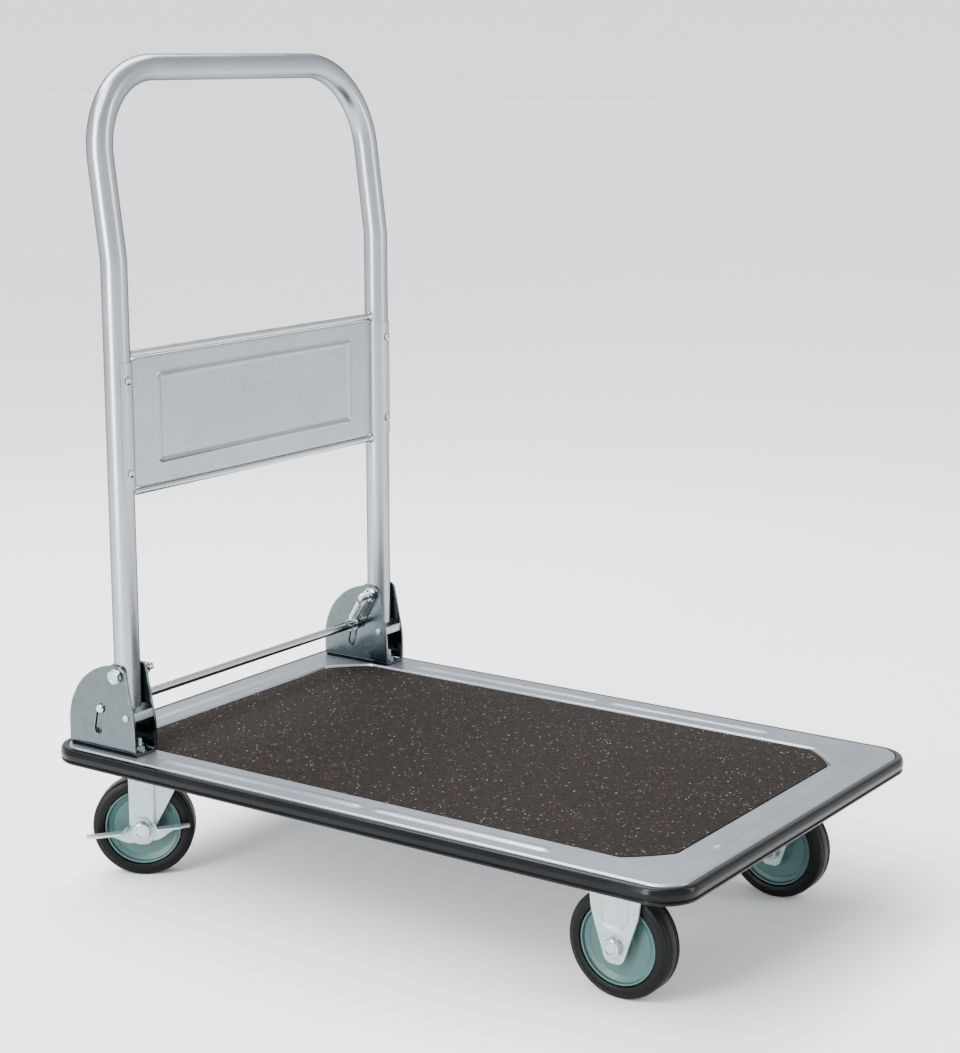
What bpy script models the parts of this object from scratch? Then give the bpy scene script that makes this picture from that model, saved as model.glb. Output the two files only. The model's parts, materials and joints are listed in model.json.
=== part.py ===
"""Folding platform cart: a pressed-steel deck on four castors with a tubular handle that folds onto it.

Metres, +Z up. The origin is on the floor under the middle of the deck. The handle stands at the
-X end, and the free end of the deck is at +X.
"""

import math

import bmesh
import bpy
from mathutils import Matrix

MM = 0.001
GAP = 0.3 * MM  # between neighbouring pieces

# Deck
DECK_LENGTH = 704 * MM
DECK_WIDTH = 454 * MM
DECK_TOP = 143 * MM
DECK_CORNER = 28 * MM
DECK_SKIRT = 15 * MM
DECK_STEEL = 1.8 * MM
DECK_EDGE_RADIUS = 3 * MM
RIM_SIDE = 43 * MM  # width of the raised rim along the long sides
RIM_END = 43.5 * MM
RECESS_DEPTH = 4 * MM
RECESS_SLOPE = 2.5 * MM  # how far the recess wall leans outwards
RECESS_CHAMFER = 36 * MM
MAT_THICKNESS = 2.7 * MM
MAT_EDGE_GAP = 0.8 * MM
BUMPER_LIP = 8 * MM
BUMPER_HEIGHT = 15 * MM
BUMPER_BELOW_TOP = 1 * MM
BUMPER_RADIUS = 2.5 * MM

# Cross channels that carry the castors
CHANNEL_WIDTH = 102 * MM
CHANNEL_LIP = 12 * MM
CHANNEL_LEAN = 4 * MM
CHANNEL_STEEL = 2 * MM
CHANNEL_DEPTH = 7.4 * MM
CHANNEL_END_CLEARANCE = 37 * MM  # from the deck's long edge to the channel's end

# Handle brackets
PIVOT_FROM_REAR = 76.5 * MM
PIVOT_ABOVE_DECK = 79.3 * MM
LEG_FROM_SIDE = 24 * MM  # from the deck's long edge to the leg's centre
CHEEK_STEEL = 2.5 * MM
CHEEK_CLEARANCE = 0.5 * MM
CHEEK_REAR = 65 * MM
CHEEK_FRONT = 22 * MM
CHEEK_CROWN = 10 * MM
CHEEK_SHOULDER = 66 * MM  # radius of the rounded rear shoulder
CHEEK_BEND = 4.5 * MM
CHEEK_KNEE = 48 * MM  # below the pivot, where the front edge turns upright
CHEEK_KNEE_RADIUS = 15 * MM
CHEEK_NOSE_RADIUS = 7 * MM  # upper front corner
STOP_HEIGHT = 8 * MM
STOP_BELOW_PIVOT = 40 * MM
STOP_STEEL = 3 * MM
STOP_INSET = 0.8 * MM  # from the cheeks' front edge
ANCHOR_FRONT = 12 * MM  # mounting bolts, ahead of and behind the pivot
ANCHOR_REAR = -46 * MM

# Handle
TUBE_RADIUS = 12.7 * MM
TUBE_WALL = 1.5 * MM
TUBE_BELOW_PIVOT = 33 * MM
BEND_ABOVE_PIVOT = 400 * MM
TOP_ABOVE_PIVOT = 578 * MM
BEND_ANGLE = math.radians(7.5)
BEND_RADIUS = 90 * MM
GRIP_CORNER = 85 * MM
PANEL_BOTTOM = 181 * MM
PANEL_TOP = 306 * MM
PANEL_STEEL = 1 * MM
PANEL_FORWARD = 2.5 * MM
PANEL_WRAP = math.radians(125)
CROSS_ROD_RADIUS = 3.5 * MM
CROSS_ROD_CLEARANCE = 1 * MM
SCREW_INSET = 18 * MM  # from the panel's top and bottom edges
SCREW_RADIUS = 2 * MM
SCREW_HEAD_RADIUS = 4 * MM
SCREW_HEAD_HEIGHT = 2.2 * MM
SCREW_LENGTH = 7 * MM

# Lock bar
LOCK_RADIUS = 4.5 * MM
LOCK_BEHIND_PIVOT = 22 * MM
LOCK_BELOW_PIVOT = 36 * MM
LOCK_TRAVEL = 22 * MM
LOCK_LEAN = math.radians(11.5)
LOCK_OVERHANG = 3 * MM
SLOT_CLEARANCE = 0.5 * MM
SPRING_WIRE = 0.6 * MM
SPRING_RADIUS = 3.4 * MM
SPRING_TURNS = 6
SPRING_HOOK_GAP = 9 * MM

# Castors
WHEEL_RADIUS = 51 * MM
TYRE_WIDTH = 25 * MM
HUB_RADIUS = 38.4 * MM
HUB_WIDTH = 21 * MM
HUB_WEB = 5 * MM
BOSS_RADIUS = 13 * MM
FORK_INNER = 15 * MM  # half the distance between the legs
FORK_STEEL = 2.5 * MM
FORK_BEND = 5 * MM
FORK_TIP = 13 * MM
FORK_TOP_HALF = 29 * MM  # half the width of a fixed fork's leg at its top
FORK_FOOT_RADIUS = 30 * MM
FORK_BLANK = 160 * MM  # width of the strip that a fork is trimmed from
AXLE_RADIUS = 5 * MM
PLATE_STEEL = 2.5 * MM
PLATE_LENGTH = 90 * MM
PLATE_WIDTH = 76 * MM
PLATE_CORNER = 6 * MM
FIXED_FROM_FRONT = 94.5 * MM
CASTOR_FROM_SIDE = 79 * MM
SWIVEL_FROM_REAR = 71 * MM
SWIVEL_TRAIL = 22 * MM
SWIVEL_TURN = math.radians(34.4)
RACE_RADIUS = 24 * MM
RACE_HEIGHT = 10 * MM
KINGPIN_RADIUS = 6 * MM
KINGPIN_HEAD_RADIUS = 10 * MM
KINGPIN_HEAD_HEIGHT = 4 * MM
LEVER_STEEL = 2 * MM
LEVER_REACH = (56 * MM, 48 * MM)  # behind and ahead of the axle
LEVER_WIDTH = 14 * MM
LEVER_TILT = math.radians(7)
LEVER_BOSS = 12 * MM
LEVER_ROOT = 9.5 * MM  # where a wing meets the boss
LEVER_SHOULDER = 16 * MM  # where a wing reaches its full width

# Hexagon fasteners: shank radius, across flats, head or nut height
M8 = (4 * MM, 13 * MM, 5.5 * MM)
M10 = (AXLE_RADIUS, 16 * MM, 6.4 * MM)
BOLT_TAIL = 2.5 * MM  # thread showing past a nut
SPRING_POST = 10 * MM  # thread past the pivot nut, which holds the spring
ANCHOR_TAIL = 7 * MM

# Worked out from the sizes above
PIVOT_X = -DECK_LENGTH / 2 + PIVOT_FROM_REAR
PIVOT_Z = DECK_TOP + PIVOT_ABOVE_DECK
LEG_Y = DECK_WIDTH / 2 - LEG_FROM_SIDE
CHEEK_INNER = TUBE_RADIUS + CHEEK_CLEARANCE
CHEEK_OUTER = CHEEK_INNER + CHEEK_STEEL
CHEEK_BOTTOM = -(PIVOT_ABOVE_DECK - GAP)
CHANNEL_TOP = DECK_TOP - RECESS_DEPTH - DECK_STEEL - GAP
PLATE_TOP = CHANNEL_TOP - CHANNEL_DEPTH - GAP
RACE_TOP = PLATE_TOP - PLATE_STEEL - GAP
CROWN_TOP = RACE_TOP - RACE_HEIGHT - GAP
CASTOR_Y = DECK_WIDTH / 2 - CASTOR_FROM_SIDE
FIXED_X = DECK_LENGTH / 2 - FIXED_FROM_FRONT
SWIVEL_X = -DECK_LENGTH / 2 + SWIVEL_FROM_REAR
SPRING_Y = CHEEK_OUTER + GAP + M8[2] + SPRING_POST / 2
CHORD = 0.00001  # welding distance
TRIM_WIDTH = 60 * MM  # cutters' widths, past both sides of a folded piece
CUTTER_WIDTH = 80 * MM
ABOVE_SHEET = 5 * MM  # how far a trimming outline stands above its sheet

FINISHES = {
    "painted_steel": ((0.42, 0.45, 0.49), 0.35, 0.75),
    "tube_paint": ((0.50, 0.53, 0.58), 0.30, 0.80),
    "zinc_plate": ((0.33, 0.38, 0.40), 0.38, 0.85),
    "bright_zinc": ((0.70, 0.72, 0.74), 0.22, 1.0),
    "fork_zinc": ((0.55, 0.58, 0.60), 0.35, 0.8),
    "bumper_vinyl": ((0.022, 0.024, 0.027), 0.45, 0.0),
    "tyre_rubber": ((0.014, 0.014, 0.015), 0.6, 0.0),
    "hub_plastic": ((0.20, 0.31, 0.30), 0.45, 0.0),
    "mat_grit": ((0.045, 0.032, 0.026), 0.9, 0.0),
}


# ---------------------------------------------------------------- scene and materials


def clear_scene():
    for obj in list(bpy.data.objects):
        bpy.data.objects.remove(obj, do_unlink=True)


def new_collection(name):
    made = bpy.data.collections.new(name)
    bpy.context.scene.collection.children.link(made)
    return made


def make_material(name, colour, roughness, metallic):
    made = bpy.data.materials.new(name)
    made.use_nodes = True
    shader = made.node_tree.nodes["Principled BSDF"]
    shader.inputs["Base Color"].default_value = (*colour, 1)
    shader.inputs["Roughness"].default_value = roughness
    shader.inputs["Metallic"].default_value = metallic
    return made


def empty(name, at, turn=0.0, parent=None):
    """An axis that a moving group of pieces hangs on, turned about Z."""
    made = bpy.data.objects.new(name, None)
    made.location = at
    made.rotation_euler = (0, 0, turn)
    made.parent = parent
    CART.objects.link(made)
    return made


def place(obj, finish=None, parent=None, at=(0, 0, 0), turn=(0, 0, 0)):
    """Gives a piece its place and material; a piece with no finish is a cutter or a joining shape."""
    obj.location = at
    obj.rotation_euler = turn
    obj.parent = parent
    home = CART if finish else CUTTERS
    home.objects.link(obj)
    if finish:
        piece_material = make_material(obj.name, *FINISHES[finish])
        obj.data.materials.append(piece_material)
    else:
        obj.hide_render = True
        obj.display_type = "WIRE"
    return obj


# ---------------------------------------------------------------- outlines


def arc(centre, radius, start, end, steps):
    """Points on an arc, with the angles in degrees."""
    points = []
    for i in range(steps + 1):
        angle = math.radians(start + (end - start) * i / steps)
        points.append((centre[0] + radius * math.cos(angle), centre[1] + radius * math.sin(angle)))
    return points


def circle(radius, steps=20, centre=(0, 0)):
    return arc(centre, radius, 0, 360, steps)[:-1]


def hexagon(across_flats):
    return circle(across_flats / math.sqrt(3), 6)


def rounded_rectangle(length, width, radius, steps=6):
    x, y = length / 2 - radius, width / 2 - radius
    corners = (((x, -y), -90), ((x, y), 0), ((-x, y), 90), ((-x, -y), 180))
    return [p for centre, start in corners for p in arc(centre, radius, start, start + 90, steps)]


def chamfered_rectangle(length, width, chamfer):
    x, y, c = length / 2, width / 2, chamfer
    half = [(c - x, -y), (x - c, -y), (x, c - y), (x, y - c)]
    return half + [(-a, -b) for a, b in half]


def filleted(corners, steps=5):
    """A closed outline from (point, radius) corners, each one rounded by an arc of its radius."""
    points = []
    for i, (corner, radius) in enumerate(corners):
        before, after = corners[i - 1][0], corners[(i + 1) % len(corners)][0]
        points += fillet(before, corner, after, radius, steps)
    return points


def fillet(before, corner, after, radius, steps):
    """The arc that rounds a corner, in two or three dimensions."""
    to_before = unit([b - c for b, c in zip(before, corner)])
    to_after = unit([a - c for a, c in zip(after, corner)])
    half = math.acos(max(-1, min(1, sum(b * a for b, a in zip(to_before, to_after))))) / 2
    straight = half > math.radians(89.9)
    if radius == 0 or straight:
        return [tuple(corner)]
    middle = unit([b + a for b, a in zip(to_before, to_after)])
    centre = [c + m * radius / math.sin(half) for c, m in zip(corner, middle)]
    across = unit([b - a for b, a in zip(to_before, to_after)])
    sweep = math.pi / 2 - half
    points = []
    for i in range(steps + 1):
        angle = sweep - 2 * sweep * i / steps
        along = [-m * math.cos(angle) + s * math.sin(angle) for m, s in zip(middle, across)]
        points.append(tuple(c + radius * a for c, a in zip(centre, along)))
    return points


def unit(vector):
    size = math.sqrt(sum(v * v for v in vector))
    return [v / size for v in vector]


# ---------------------------------------------------------------- shapes


def as_mesh(curve_object):
    """A mesh object from a curve object, with its caps welded on."""
    bpy.context.scene.collection.objects.link(curve_object)
    graph = bpy.context.evaluated_depsgraph_get()
    graph.update()
    mesh = bpy.data.meshes.new_from_object(curve_object.evaluated_get(graph))
    name = curve_object.name
    bpy.data.objects.remove(curve_object, do_unlink=True)
    shape = bmesh.new()
    shape.from_mesh(mesh)
    bmesh.ops.remove_doubles(shape, verts=shape.verts, dist=CHORD)
    bmesh.ops.recalc_face_normals(shape, faces=shape.faces)
    shape.to_mesh(mesh)
    shape.free()
    mesh.materials.clear()
    mesh.set_sharp_from_angle(angle=math.radians(35))
    return bpy.data.objects.new(name, mesh)


def flat(name, outline, thickness, holes=()):
    """A flat piece in its own XY plane, as thick above the plane as below it."""
    curve = bpy.data.curves.new(name, "CURVE")
    curve.dimensions = "2D"
    curve.fill_mode = "BOTH"
    curve.extrude = thickness / 2
    for loop in (outline, *holes):
        spline = curve.splines.new("POLY")
        spline.points.add(len(loop) - 1)
        spline.use_cyclic_u = True
        for point, (x, y) in zip(spline.points, loop):
            point.co = (x, y, 0, 1)
    return as_mesh(bpy.data.objects.new(name, curve))


def bar(name, path, radius, sides=16):
    """A round bar along a path of points."""
    curve = bpy.data.curves.new(name, "CURVE")
    curve.dimensions = "3D"
    curve.bevel_depth = radius
    curve.bevel_resolution = (sides - 4) // 2
    curve.use_fill_caps = True
    spline = curve.splines.new("POLY")
    spline.points.add(len(path) - 1)
    for point, co in zip(spline.points, path):
        point.co = (*co, 1)
    return as_mesh(bpy.data.objects.new(name, curve))


def box(name, low, high):
    shape = bmesh.new()
    size = [b - a for a, b in zip(low, high)]
    middle = [(a + b) / 2 for a, b in zip(low, high)]
    matrix = Matrix.Translation(middle) @ Matrix.Diagonal((*size, 1))
    bmesh.ops.create_cube(shape, size=1, matrix=matrix)
    return from_bmesh(name, shape)


def from_bmesh(name, shape):
    mesh = bpy.data.meshes.new(name)
    shape.to_mesh(mesh)
    shape.free()
    return bpy.data.objects.new(name, mesh)


def turned(name, profile, steps, closed=False):
    """A profile of (radius, height) points, listed from top to bottom, turned about Z."""
    shape = bmesh.new()
    verts = [shape.verts.new((radius, 0, height)) for radius, height in profile]
    ends = list(zip(verts, verts[1:])) + ([(verts[-1], verts[0])] if closed else [])
    for pair in ends:
        shape.edges.new(pair)
    made = from_bmesh(name, shape)
    screw = made.modifiers.new("turn", "SCREW")
    screw.axis = "Z"
    screw.steps = steps
    screw.render_steps = steps
    screw.use_merge_vertices = True
    screw.merge_threshold = CHORD
    return made


def drill(name, radius, reach, steps=12):
    """A round cutter about Z that reaches this far each way. It stands turned by half a step, which
    keeps its edges off the seams of the round pieces that it cuts."""
    made = turned(name, [(0, reach), (radius, reach), (radius, -reach), (0, -reach)], steps)
    made.data.transform(Matrix.Rotation(math.pi / steps, 4, "Z"))
    return made


def folded_sheet(name, path, length, thickness):
    """Sheet bent along a path in its own XY plane, length long in Z, with the path at mid thickness."""
    shape = bmesh.new()
    verts = [shape.verts.new((x, y, -length / 2)) for x, y in path]
    edges = [shape.edges.new(pair) for pair in zip(verts, verts[1:])]
    raised = bmesh.ops.extrude_edge_only(shape, edges=edges)["geom"]
    new_verts = [item for item in raised if isinstance(item, bmesh.types.BMVert)]
    bmesh.ops.translate(shape, verts=new_verts, vec=(0, 0, length))
    made = from_bmesh(name, shape)
    wall = made.modifiers.new("wall", "SOLIDIFY")
    wall.thickness = thickness
    wall.offset = 0
    wall.use_even_offset = True
    return made


def combine(obj, other, operation):
    step = obj.modifiers.new(other.name, "BOOLEAN")
    step.operation = operation
    step.object = other
    return obj


def cut(obj, *others):
    for other in others:
        combine(obj, other, "DIFFERENCE")
    return obj


def join(obj, *others):
    for other in others:
        combine(obj, other, "UNION")
    return obj


def hex_bolt(name, size, length, **where):
    """A bolt whose shank runs from the origin to -Z, with its head above the origin."""
    radius, across_flats, height = size
    head = flat(name, hexagon(across_flats), height)
    head.data.transform(Matrix.Translation((0, 0, height / 2)))
    soften = head.modifiers.new("edges", "BEVEL")
    soften.width = 0.6 * MM
    soften.limit_method = "ANGLE"
    soften.angle_limit = math.radians(70)
    place(head, "bright_zinc", **where)
    profile = [(0, height / 2), (radius, height / 2), (radius, -length), (0, -length)]
    shank = turned(name + "_shank", profile, 12)
    return join(head, place(shank, **where))


def hex_nut(name, size, **where):
    """A nut that stands on the origin."""
    radius, across_flats, height = size
    nut = flat(name, hexagon(across_flats), height, [circle(radius + GAP, 12)])
    nut.data.transform(Matrix.Translation((0, 0, height / 2)))
    return place(nut, "bright_zinc", **where)


# ---------------------------------------------------------------- deck


def recess_size():
    return DECK_LENGTH - 2 * RIM_END, DECK_WIDTH - 2 * RIM_SIDE


def recess_block(name, bottom, top, grow_bottom, grow_top):
    """A chamfered block whose walls lean, grown past the recess floor by the two amounts."""
    length, width = recess_size()
    outline = chamfered_rectangle(length + 2 * grow_bottom, width + 2 * grow_bottom, RECESS_CHAMFER)
    block = flat(name, outline, top - bottom)
    wider = (length + 2 * grow_top) / (length + 2 * grow_bottom)
    deeper = (width + 2 * grow_top) / (width + 2 * grow_bottom)
    for vertex in block.data.vertices:
        if vertex.co.z > 0:
            vertex.co.x *= wider
            vertex.co.y *= deeper
    return place(block, at=(0, 0, (bottom + top) / 2))


def deck_plate():
    """The pressed deck: a pan with a turned-down skirt and a sunk middle for the mat."""
    shape = bmesh.new()
    outline = rounded_rectangle(DECK_LENGTH, DECK_WIDTH, DECK_CORNER)
    face = shape.faces.new([shape.verts.new((x, y, 0)) for x, y in outline])
    raised = bmesh.ops.extrude_edge_only(shape, edges=list(face.edges))["geom"]
    lower = [item for item in raised if isinstance(item, bmesh.types.BMVert)]
    bmesh.ops.translate(shape, verts=lower, vec=(0, 0, -DECK_SKIRT))
    bmesh.ops.recalc_face_normals(shape, faces=shape.faces)
    deck = place(from_bmesh("deck_plate", shape), "painted_steel", at=(0, 0, DECK_TOP))
    edge = deck.modifiers.new("rim", "BEVEL")
    edge.width = DECK_EDGE_RADIUS
    edge.segments = 2
    edge.limit_method = "ANGLE"
    edge.angle_limit = math.radians(60)
    wall = deck.modifiers.new("wall", "SOLIDIFY")
    wall.thickness = DECK_STEEL
    wall.offset = -1
    wall.use_even_offset = True
    floor = DECK_TOP - RECESS_DEPTH
    wall_slope = DECK_STEEL + RECESS_SLOPE
    wall_top = DECK_TOP - DECK_STEEL / 2
    join(deck, recess_block("recess_wall", floor - DECK_STEEL, wall_top, DECK_STEEL, wall_slope))
    cut(deck, recess_block("recess_hollow", floor, DECK_TOP + RECESS_DEPTH, 0, 2 * RECESS_SLOPE))
    for side in (-1, 1):
        for ahead in (ANCHOR_FRONT, ANCHOR_REAR):
            hole = drill("anchor_hole", M8[0] + GAP, DECK_SKIRT)
            cut(deck, place(hole, at=(PIVOT_X + ahead, side * LEG_Y, DECK_TOP)))
    return deck


def deck_mat():
    length, width = recess_size()
    outline = chamfered_rectangle(length - 2 * MAT_EDGE_GAP, width - 2 * MAT_EDGE_GAP, RECESS_CHAMFER)
    height = DECK_TOP - RECESS_DEPTH + GAP + MAT_THICKNESS / 2
    place(flat("deck_mat", outline, MAT_THICKNESS), "mat_grit", at=(0, 0, height))


def edge_bumper():
    """The moulding that goes round the skirt."""

    def ring(grow):
        return rounded_rectangle(DECK_LENGTH + 2 * grow, DECK_WIDTH + 2 * grow, DECK_CORNER + grow)

    bumper = flat("edge_bumper", ring(BUMPER_LIP), BUMPER_HEIGHT, [ring(GAP)])
    place(bumper, "bumper_vinyl", at=(0, 0, DECK_TOP - BUMPER_BELOW_TOP - BUMPER_HEIGHT / 2))
    edge = bumper.modifiers.new("edge", "BEVEL")
    edge.width = BUMPER_RADIUS
    edge.segments = 2
    edge.limit_method = "ANGLE"
    edge.angle_limit = math.radians(60)


def cross_channel(name, x):
    """A shallow hat channel under the deck, with its lips on the recess floor."""
    half, lean, lip = CHANNEL_WIDTH / 2, CHANNEL_LEAN, CHANNEL_LIP
    rise = CHANNEL_DEPTH - CHANNEL_STEEL
    path = [(-half - lean - lip, rise), (-half - lean, rise), (-half, 0), (half, 0)]
    path += [(half + lean, rise), (half + lean + lip, rise)]
    length = DECK_WIDTH - 2 * CHANNEL_END_CLEARANCE
    channel = folded_sheet(name, path, length, CHANNEL_STEEL)
    middle = CHANNEL_TOP - CHANNEL_DEPTH + CHANNEL_STEEL / 2
    place(channel, "painted_steel", at=(x, 0, middle), turn=(math.pi / 2, 0, 0))


# ---------------------------------------------------------------- brackets and lock


def slot_ends():
    """The lock bar's place at rest and pressed down, behind and below the pivot."""
    rest = (-LOCK_BEHIND_PIVOT, -LOCK_BELOW_PIVOT)
    down = (rest[0] - LOCK_TRAVEL * math.sin(LOCK_LEAN), rest[1] - LOCK_TRAVEL * math.cos(LOCK_LEAN))
    return rest, down


def slot_outline(radius):
    (x0, z0), (x1, z1) = slot_ends()
    lean = math.degrees(LOCK_LEAN)
    top = arc((x0, z0), radius, -lean, 180 - lean, 8)
    bottom = arc((x1, z1), radius, 180 - lean, 360 - lean, 8)
    return top + bottom


def front_edge(z):
    """How far the cheek's sloping front edge is ahead of the pivot at a height."""
    share = (CHEEK_CROWN - z) / (CHEEK_CROWN + CHEEK_KNEE)
    return CHEEK_CROWN + (CHEEK_FRONT - CHEEK_CROWN) * share


def bracket(name, frame):
    """Two cheeks and a foot bent from one strip, with a stop strap across the front."""
    upright = (math.pi / 2, 0, 0)
    half = CHEEK_INNER + CHEEK_STEEL / 2
    foot = CHEEK_BOTTOM + CHEEK_STEEL / 2
    head_room = CHEEK_CROWN + 5 * MM
    path = [(-half, head_room)]
    path += fillet((-half, 0), (-half, foot), (half, foot), CHEEK_BEND, 4)
    path += fillet((-half, foot), (half, foot), (half, 0), CHEEK_BEND, 4)
    path += [(half, head_room)]
    length = CHEEK_REAR + CHEEK_FRONT + 20 * MM
    middle = (CHEEK_FRONT - CHEEK_REAR) / 2
    made = folded_sheet(name, path, length, CHEEK_STEEL)
    place(made, "zinc_plate", frame, at=(middle, 0, 0), turn=(math.pi / 2, 0, math.pi / 2))
    below = CHEEK_BOTTOM - 2 * MM
    outline = filleted([
        ((-CHEEK_REAR, below), 0),
        ((-CHEEK_REAR, CHEEK_CROWN), CHEEK_SHOULDER),
        ((CHEEK_CROWN, CHEEK_CROWN), CHEEK_NOSE_RADIUS),
        ((CHEEK_FRONT, -CHEEK_KNEE), CHEEK_KNEE_RADIUS),
        ((CHEEK_FRONT, below), 0),
    ], 6)
    trim = flat(name + "_trim", outline, TRIM_WIDTH)
    combine(made, place(trim, parent=frame, turn=upright), "INTERSECT")
    strap_front = front_edge(-STOP_BELOW_PIVOT) - STOP_INSET
    strap = box(
        name + "_stop",
        (strap_front - STOP_STEEL, -half, -STOP_BELOW_PIVOT - STOP_HEIGHT / 2),
        (strap_front, half, -STOP_BELOW_PIVOT + STOP_HEIGHT / 2),
    )
    join(made, place(strap, parent=frame))
    slot = flat(name + "_slot", slot_outline(LOCK_RADIUS + SLOT_CLEARANCE), CUTTER_WIDTH)
    pivot_hole = flat(name + "_pivot_hole", circle(M8[0] + GAP, 12), CUTTER_WIDTH)
    cut(made, place(slot, parent=frame, turn=upright), place(pivot_hole, parent=frame, turn=upright))
    for ahead in (ANCHOR_FRONT, ANCHOR_REAR):
        hole = drill(name + "_foot_hole", M8[0] + GAP, 6 * MM)
        cut(made, place(hole, parent=frame, at=(ahead, 0, CHEEK_BOTTOM)))
    return made


def bracket_fasteners(side_name, side, frame):
    """The pivot bolt with its head outside, and the two bolts that hold the foot to the deck."""
    outward = (-side * math.pi / 2, 0, 0)
    inward = (side * math.pi / 2, 0, 0)
    grip = CHEEK_OUTER + GAP
    length = 2 * grip + M8[2] + SPRING_POST
    hex_bolt("pivot_bolt_" + side_name, M8, length, parent=frame, at=(0, side * grip, 0), turn=outward)
    hex_nut("pivot_nut_" + side_name, M8, parent=frame, at=(0, -side * (grip + GAP), 0), turn=inward)
    under = CHEEK_BOTTOM - GAP - DECK_STEEL - GAP
    seat = CHEEK_BOTTOM + CHEEK_STEEL + GAP
    shank = seat - under + M8[2] + ANCHOR_TAIL
    for place_name, ahead in (("front", ANCHOR_FRONT), ("rear", ANCHOR_REAR)):
        tail = f"_{place_name}_{side_name}"
        hex_bolt("anchor_bolt" + tail, M8, shank, parent=frame, at=(ahead, 0, under), turn=(math.pi, 0, 0))
        hex_nut("anchor_nut" + tail, M8, parent=frame, at=(ahead, 0, seat))


def lock_bar(frame):
    """The round bar that the foot presses down to free the handle."""
    half = LEG_Y + CHEEK_OUTER + LOCK_OVERHANG
    chamfer = 0.8 * MM
    profile = [(0, half), (LOCK_RADIUS - chamfer, half), (LOCK_RADIUS, half - chamfer)]
    profile += [(radius, -height) for radius, height in reversed(profile)]
    place(turned("lock_bar", profile, 16), "bright_zinc", frame, turn=(math.pi / 2, 0, 0))


def lock_spring(name, side, frame):
    """A tension spring from the end of the pivot bolt to the lock bar, with a hook at each end."""
    (x, z), _ = slot_ends()
    length = math.hypot(x, z)
    lean = math.atan2(-x, -z)
    top_hook = M8[0] + GAP + SPRING_WIRE
    low_hook = LOCK_RADIUS + GAP + SPRING_WIRE
    steps = 7
    coil_top, coil_low = -SPRING_HOOK_GAP, SPRING_HOOK_GAP - length
    path = [(px, 0, pz) for px, pz in arc((0, 0), top_hook, 240, -20, 8)]
    for i in range(SPRING_TURNS * steps + 1):
        angle = math.tau * i / steps
        down = coil_top + (coil_low - coil_top) * i / (SPRING_TURNS * steps)
        path.append((SPRING_RADIUS * math.cos(angle), SPRING_RADIUS * math.sin(angle), down))
    path += [(px, 0, pz) for px, pz in arc((0, -length), low_hook, 20, -240, 8)]
    spring = bar(name, path, SPRING_WIRE, sides=8)
    spring.data.transform(Matrix.Rotation(lean, 4, "Y"))
    place(spring, "bright_zinc", frame, at=(0, -side * SPRING_Y, 0))


# ---------------------------------------------------------------- handle


def handle_corners():
    """The handle's centre line as (point, bend radius) corners, from one leg's foot to the other."""
    rise = TOP_ABOVE_PIVOT - BEND_ABOVE_PIVOT
    top_x = -rise * math.tan(BEND_ANGLE)
    half = [((0, 0, BEND_ABOVE_PIVOT), BEND_RADIUS), ((top_x, 0, TOP_ABOVE_PIVOT), GRIP_CORNER)]
    left = [((x, -LEG_Y, z), radius) for (x, _, z), radius in half]
    right = [((x, LEG_Y, z), radius) for (x, _, z), radius in reversed(half)]
    return left + right


def handle_path(foot):
    """Points along the centre line, with the legs cut off this far below the pivot."""
    corners = handle_corners()
    ends = [((0, -LEG_Y, -foot), 0), ((0, LEG_Y, -foot), 0)]
    route = [ends[0], *corners, ends[1]]
    points = [route[0][0]]
    for before, (corner, radius), after in zip(route, route[1:], route[2:]):
        steps = 6 if radius == GRIP_CORNER else 2
        points += fillet(before[0], corner, after[0], radius, steps)
    points.append(route[-1][0])
    return points


def handle_tube(frame):
    """The bent tube, hollow and open at both feet, drilled for the pivot bolts and the screws."""
    tube = bar("handle_tube", handle_path(TUBE_BELOW_PIVOT), TUBE_RADIUS)
    place(tube, "tube_paint", frame)
    bore = bar("handle_bore", handle_path(TUBE_BELOW_PIVOT + 5 * MM), TUBE_RADIUS - TUBE_WALL, sides=12)
    cut(tube, place(bore, parent=frame))
    for side in (-1, 1):
        hole = drill("leg_pivot_hole", M8[0] + GAP, 2 * TUBE_RADIUS)
        cut(tube, place(hole, parent=frame, at=(0, side * LEG_Y, 0), turn=(math.pi / 2, 0, 0)))
    return tube


def handle_panel(frame):
    """The sheet between the legs, whose ends wrap round the front of the tubes."""
    wrap = TUBE_RADIUS + GAP + PANEL_STEEL / 2
    start = math.asin(PANEL_FORWARD / wrap)
    path = []
    for side in (-1, 1):
        curl = []
        for i in range(11):
            angle = start + (PANEL_WRAP - start) * i / 10
            curl.append((wrap * math.sin(angle), side * (LEG_Y - wrap * math.cos(angle))))
        path += curl if side == 1 else curl[::-1]
    panel = folded_sheet("handle_panel", path, PANEL_TOP - PANEL_BOTTOM, PANEL_STEEL)
    return place(panel, "painted_steel", frame, at=(0, 0, (PANEL_TOP + PANEL_BOTTOM) / 2))


def cross_rod(name, height, frame):
    half = LEG_Y - TUBE_RADIUS - GAP
    profile = [(0, half), (CROSS_ROD_RADIUS, half), (CROSS_ROD_RADIUS, -half), (0, -half)]
    rod = turned(name, profile, 12)
    place(rod, "bright_zinc", frame, at=(0, 0, height), turn=(math.pi / 2, 0, 0))


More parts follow.
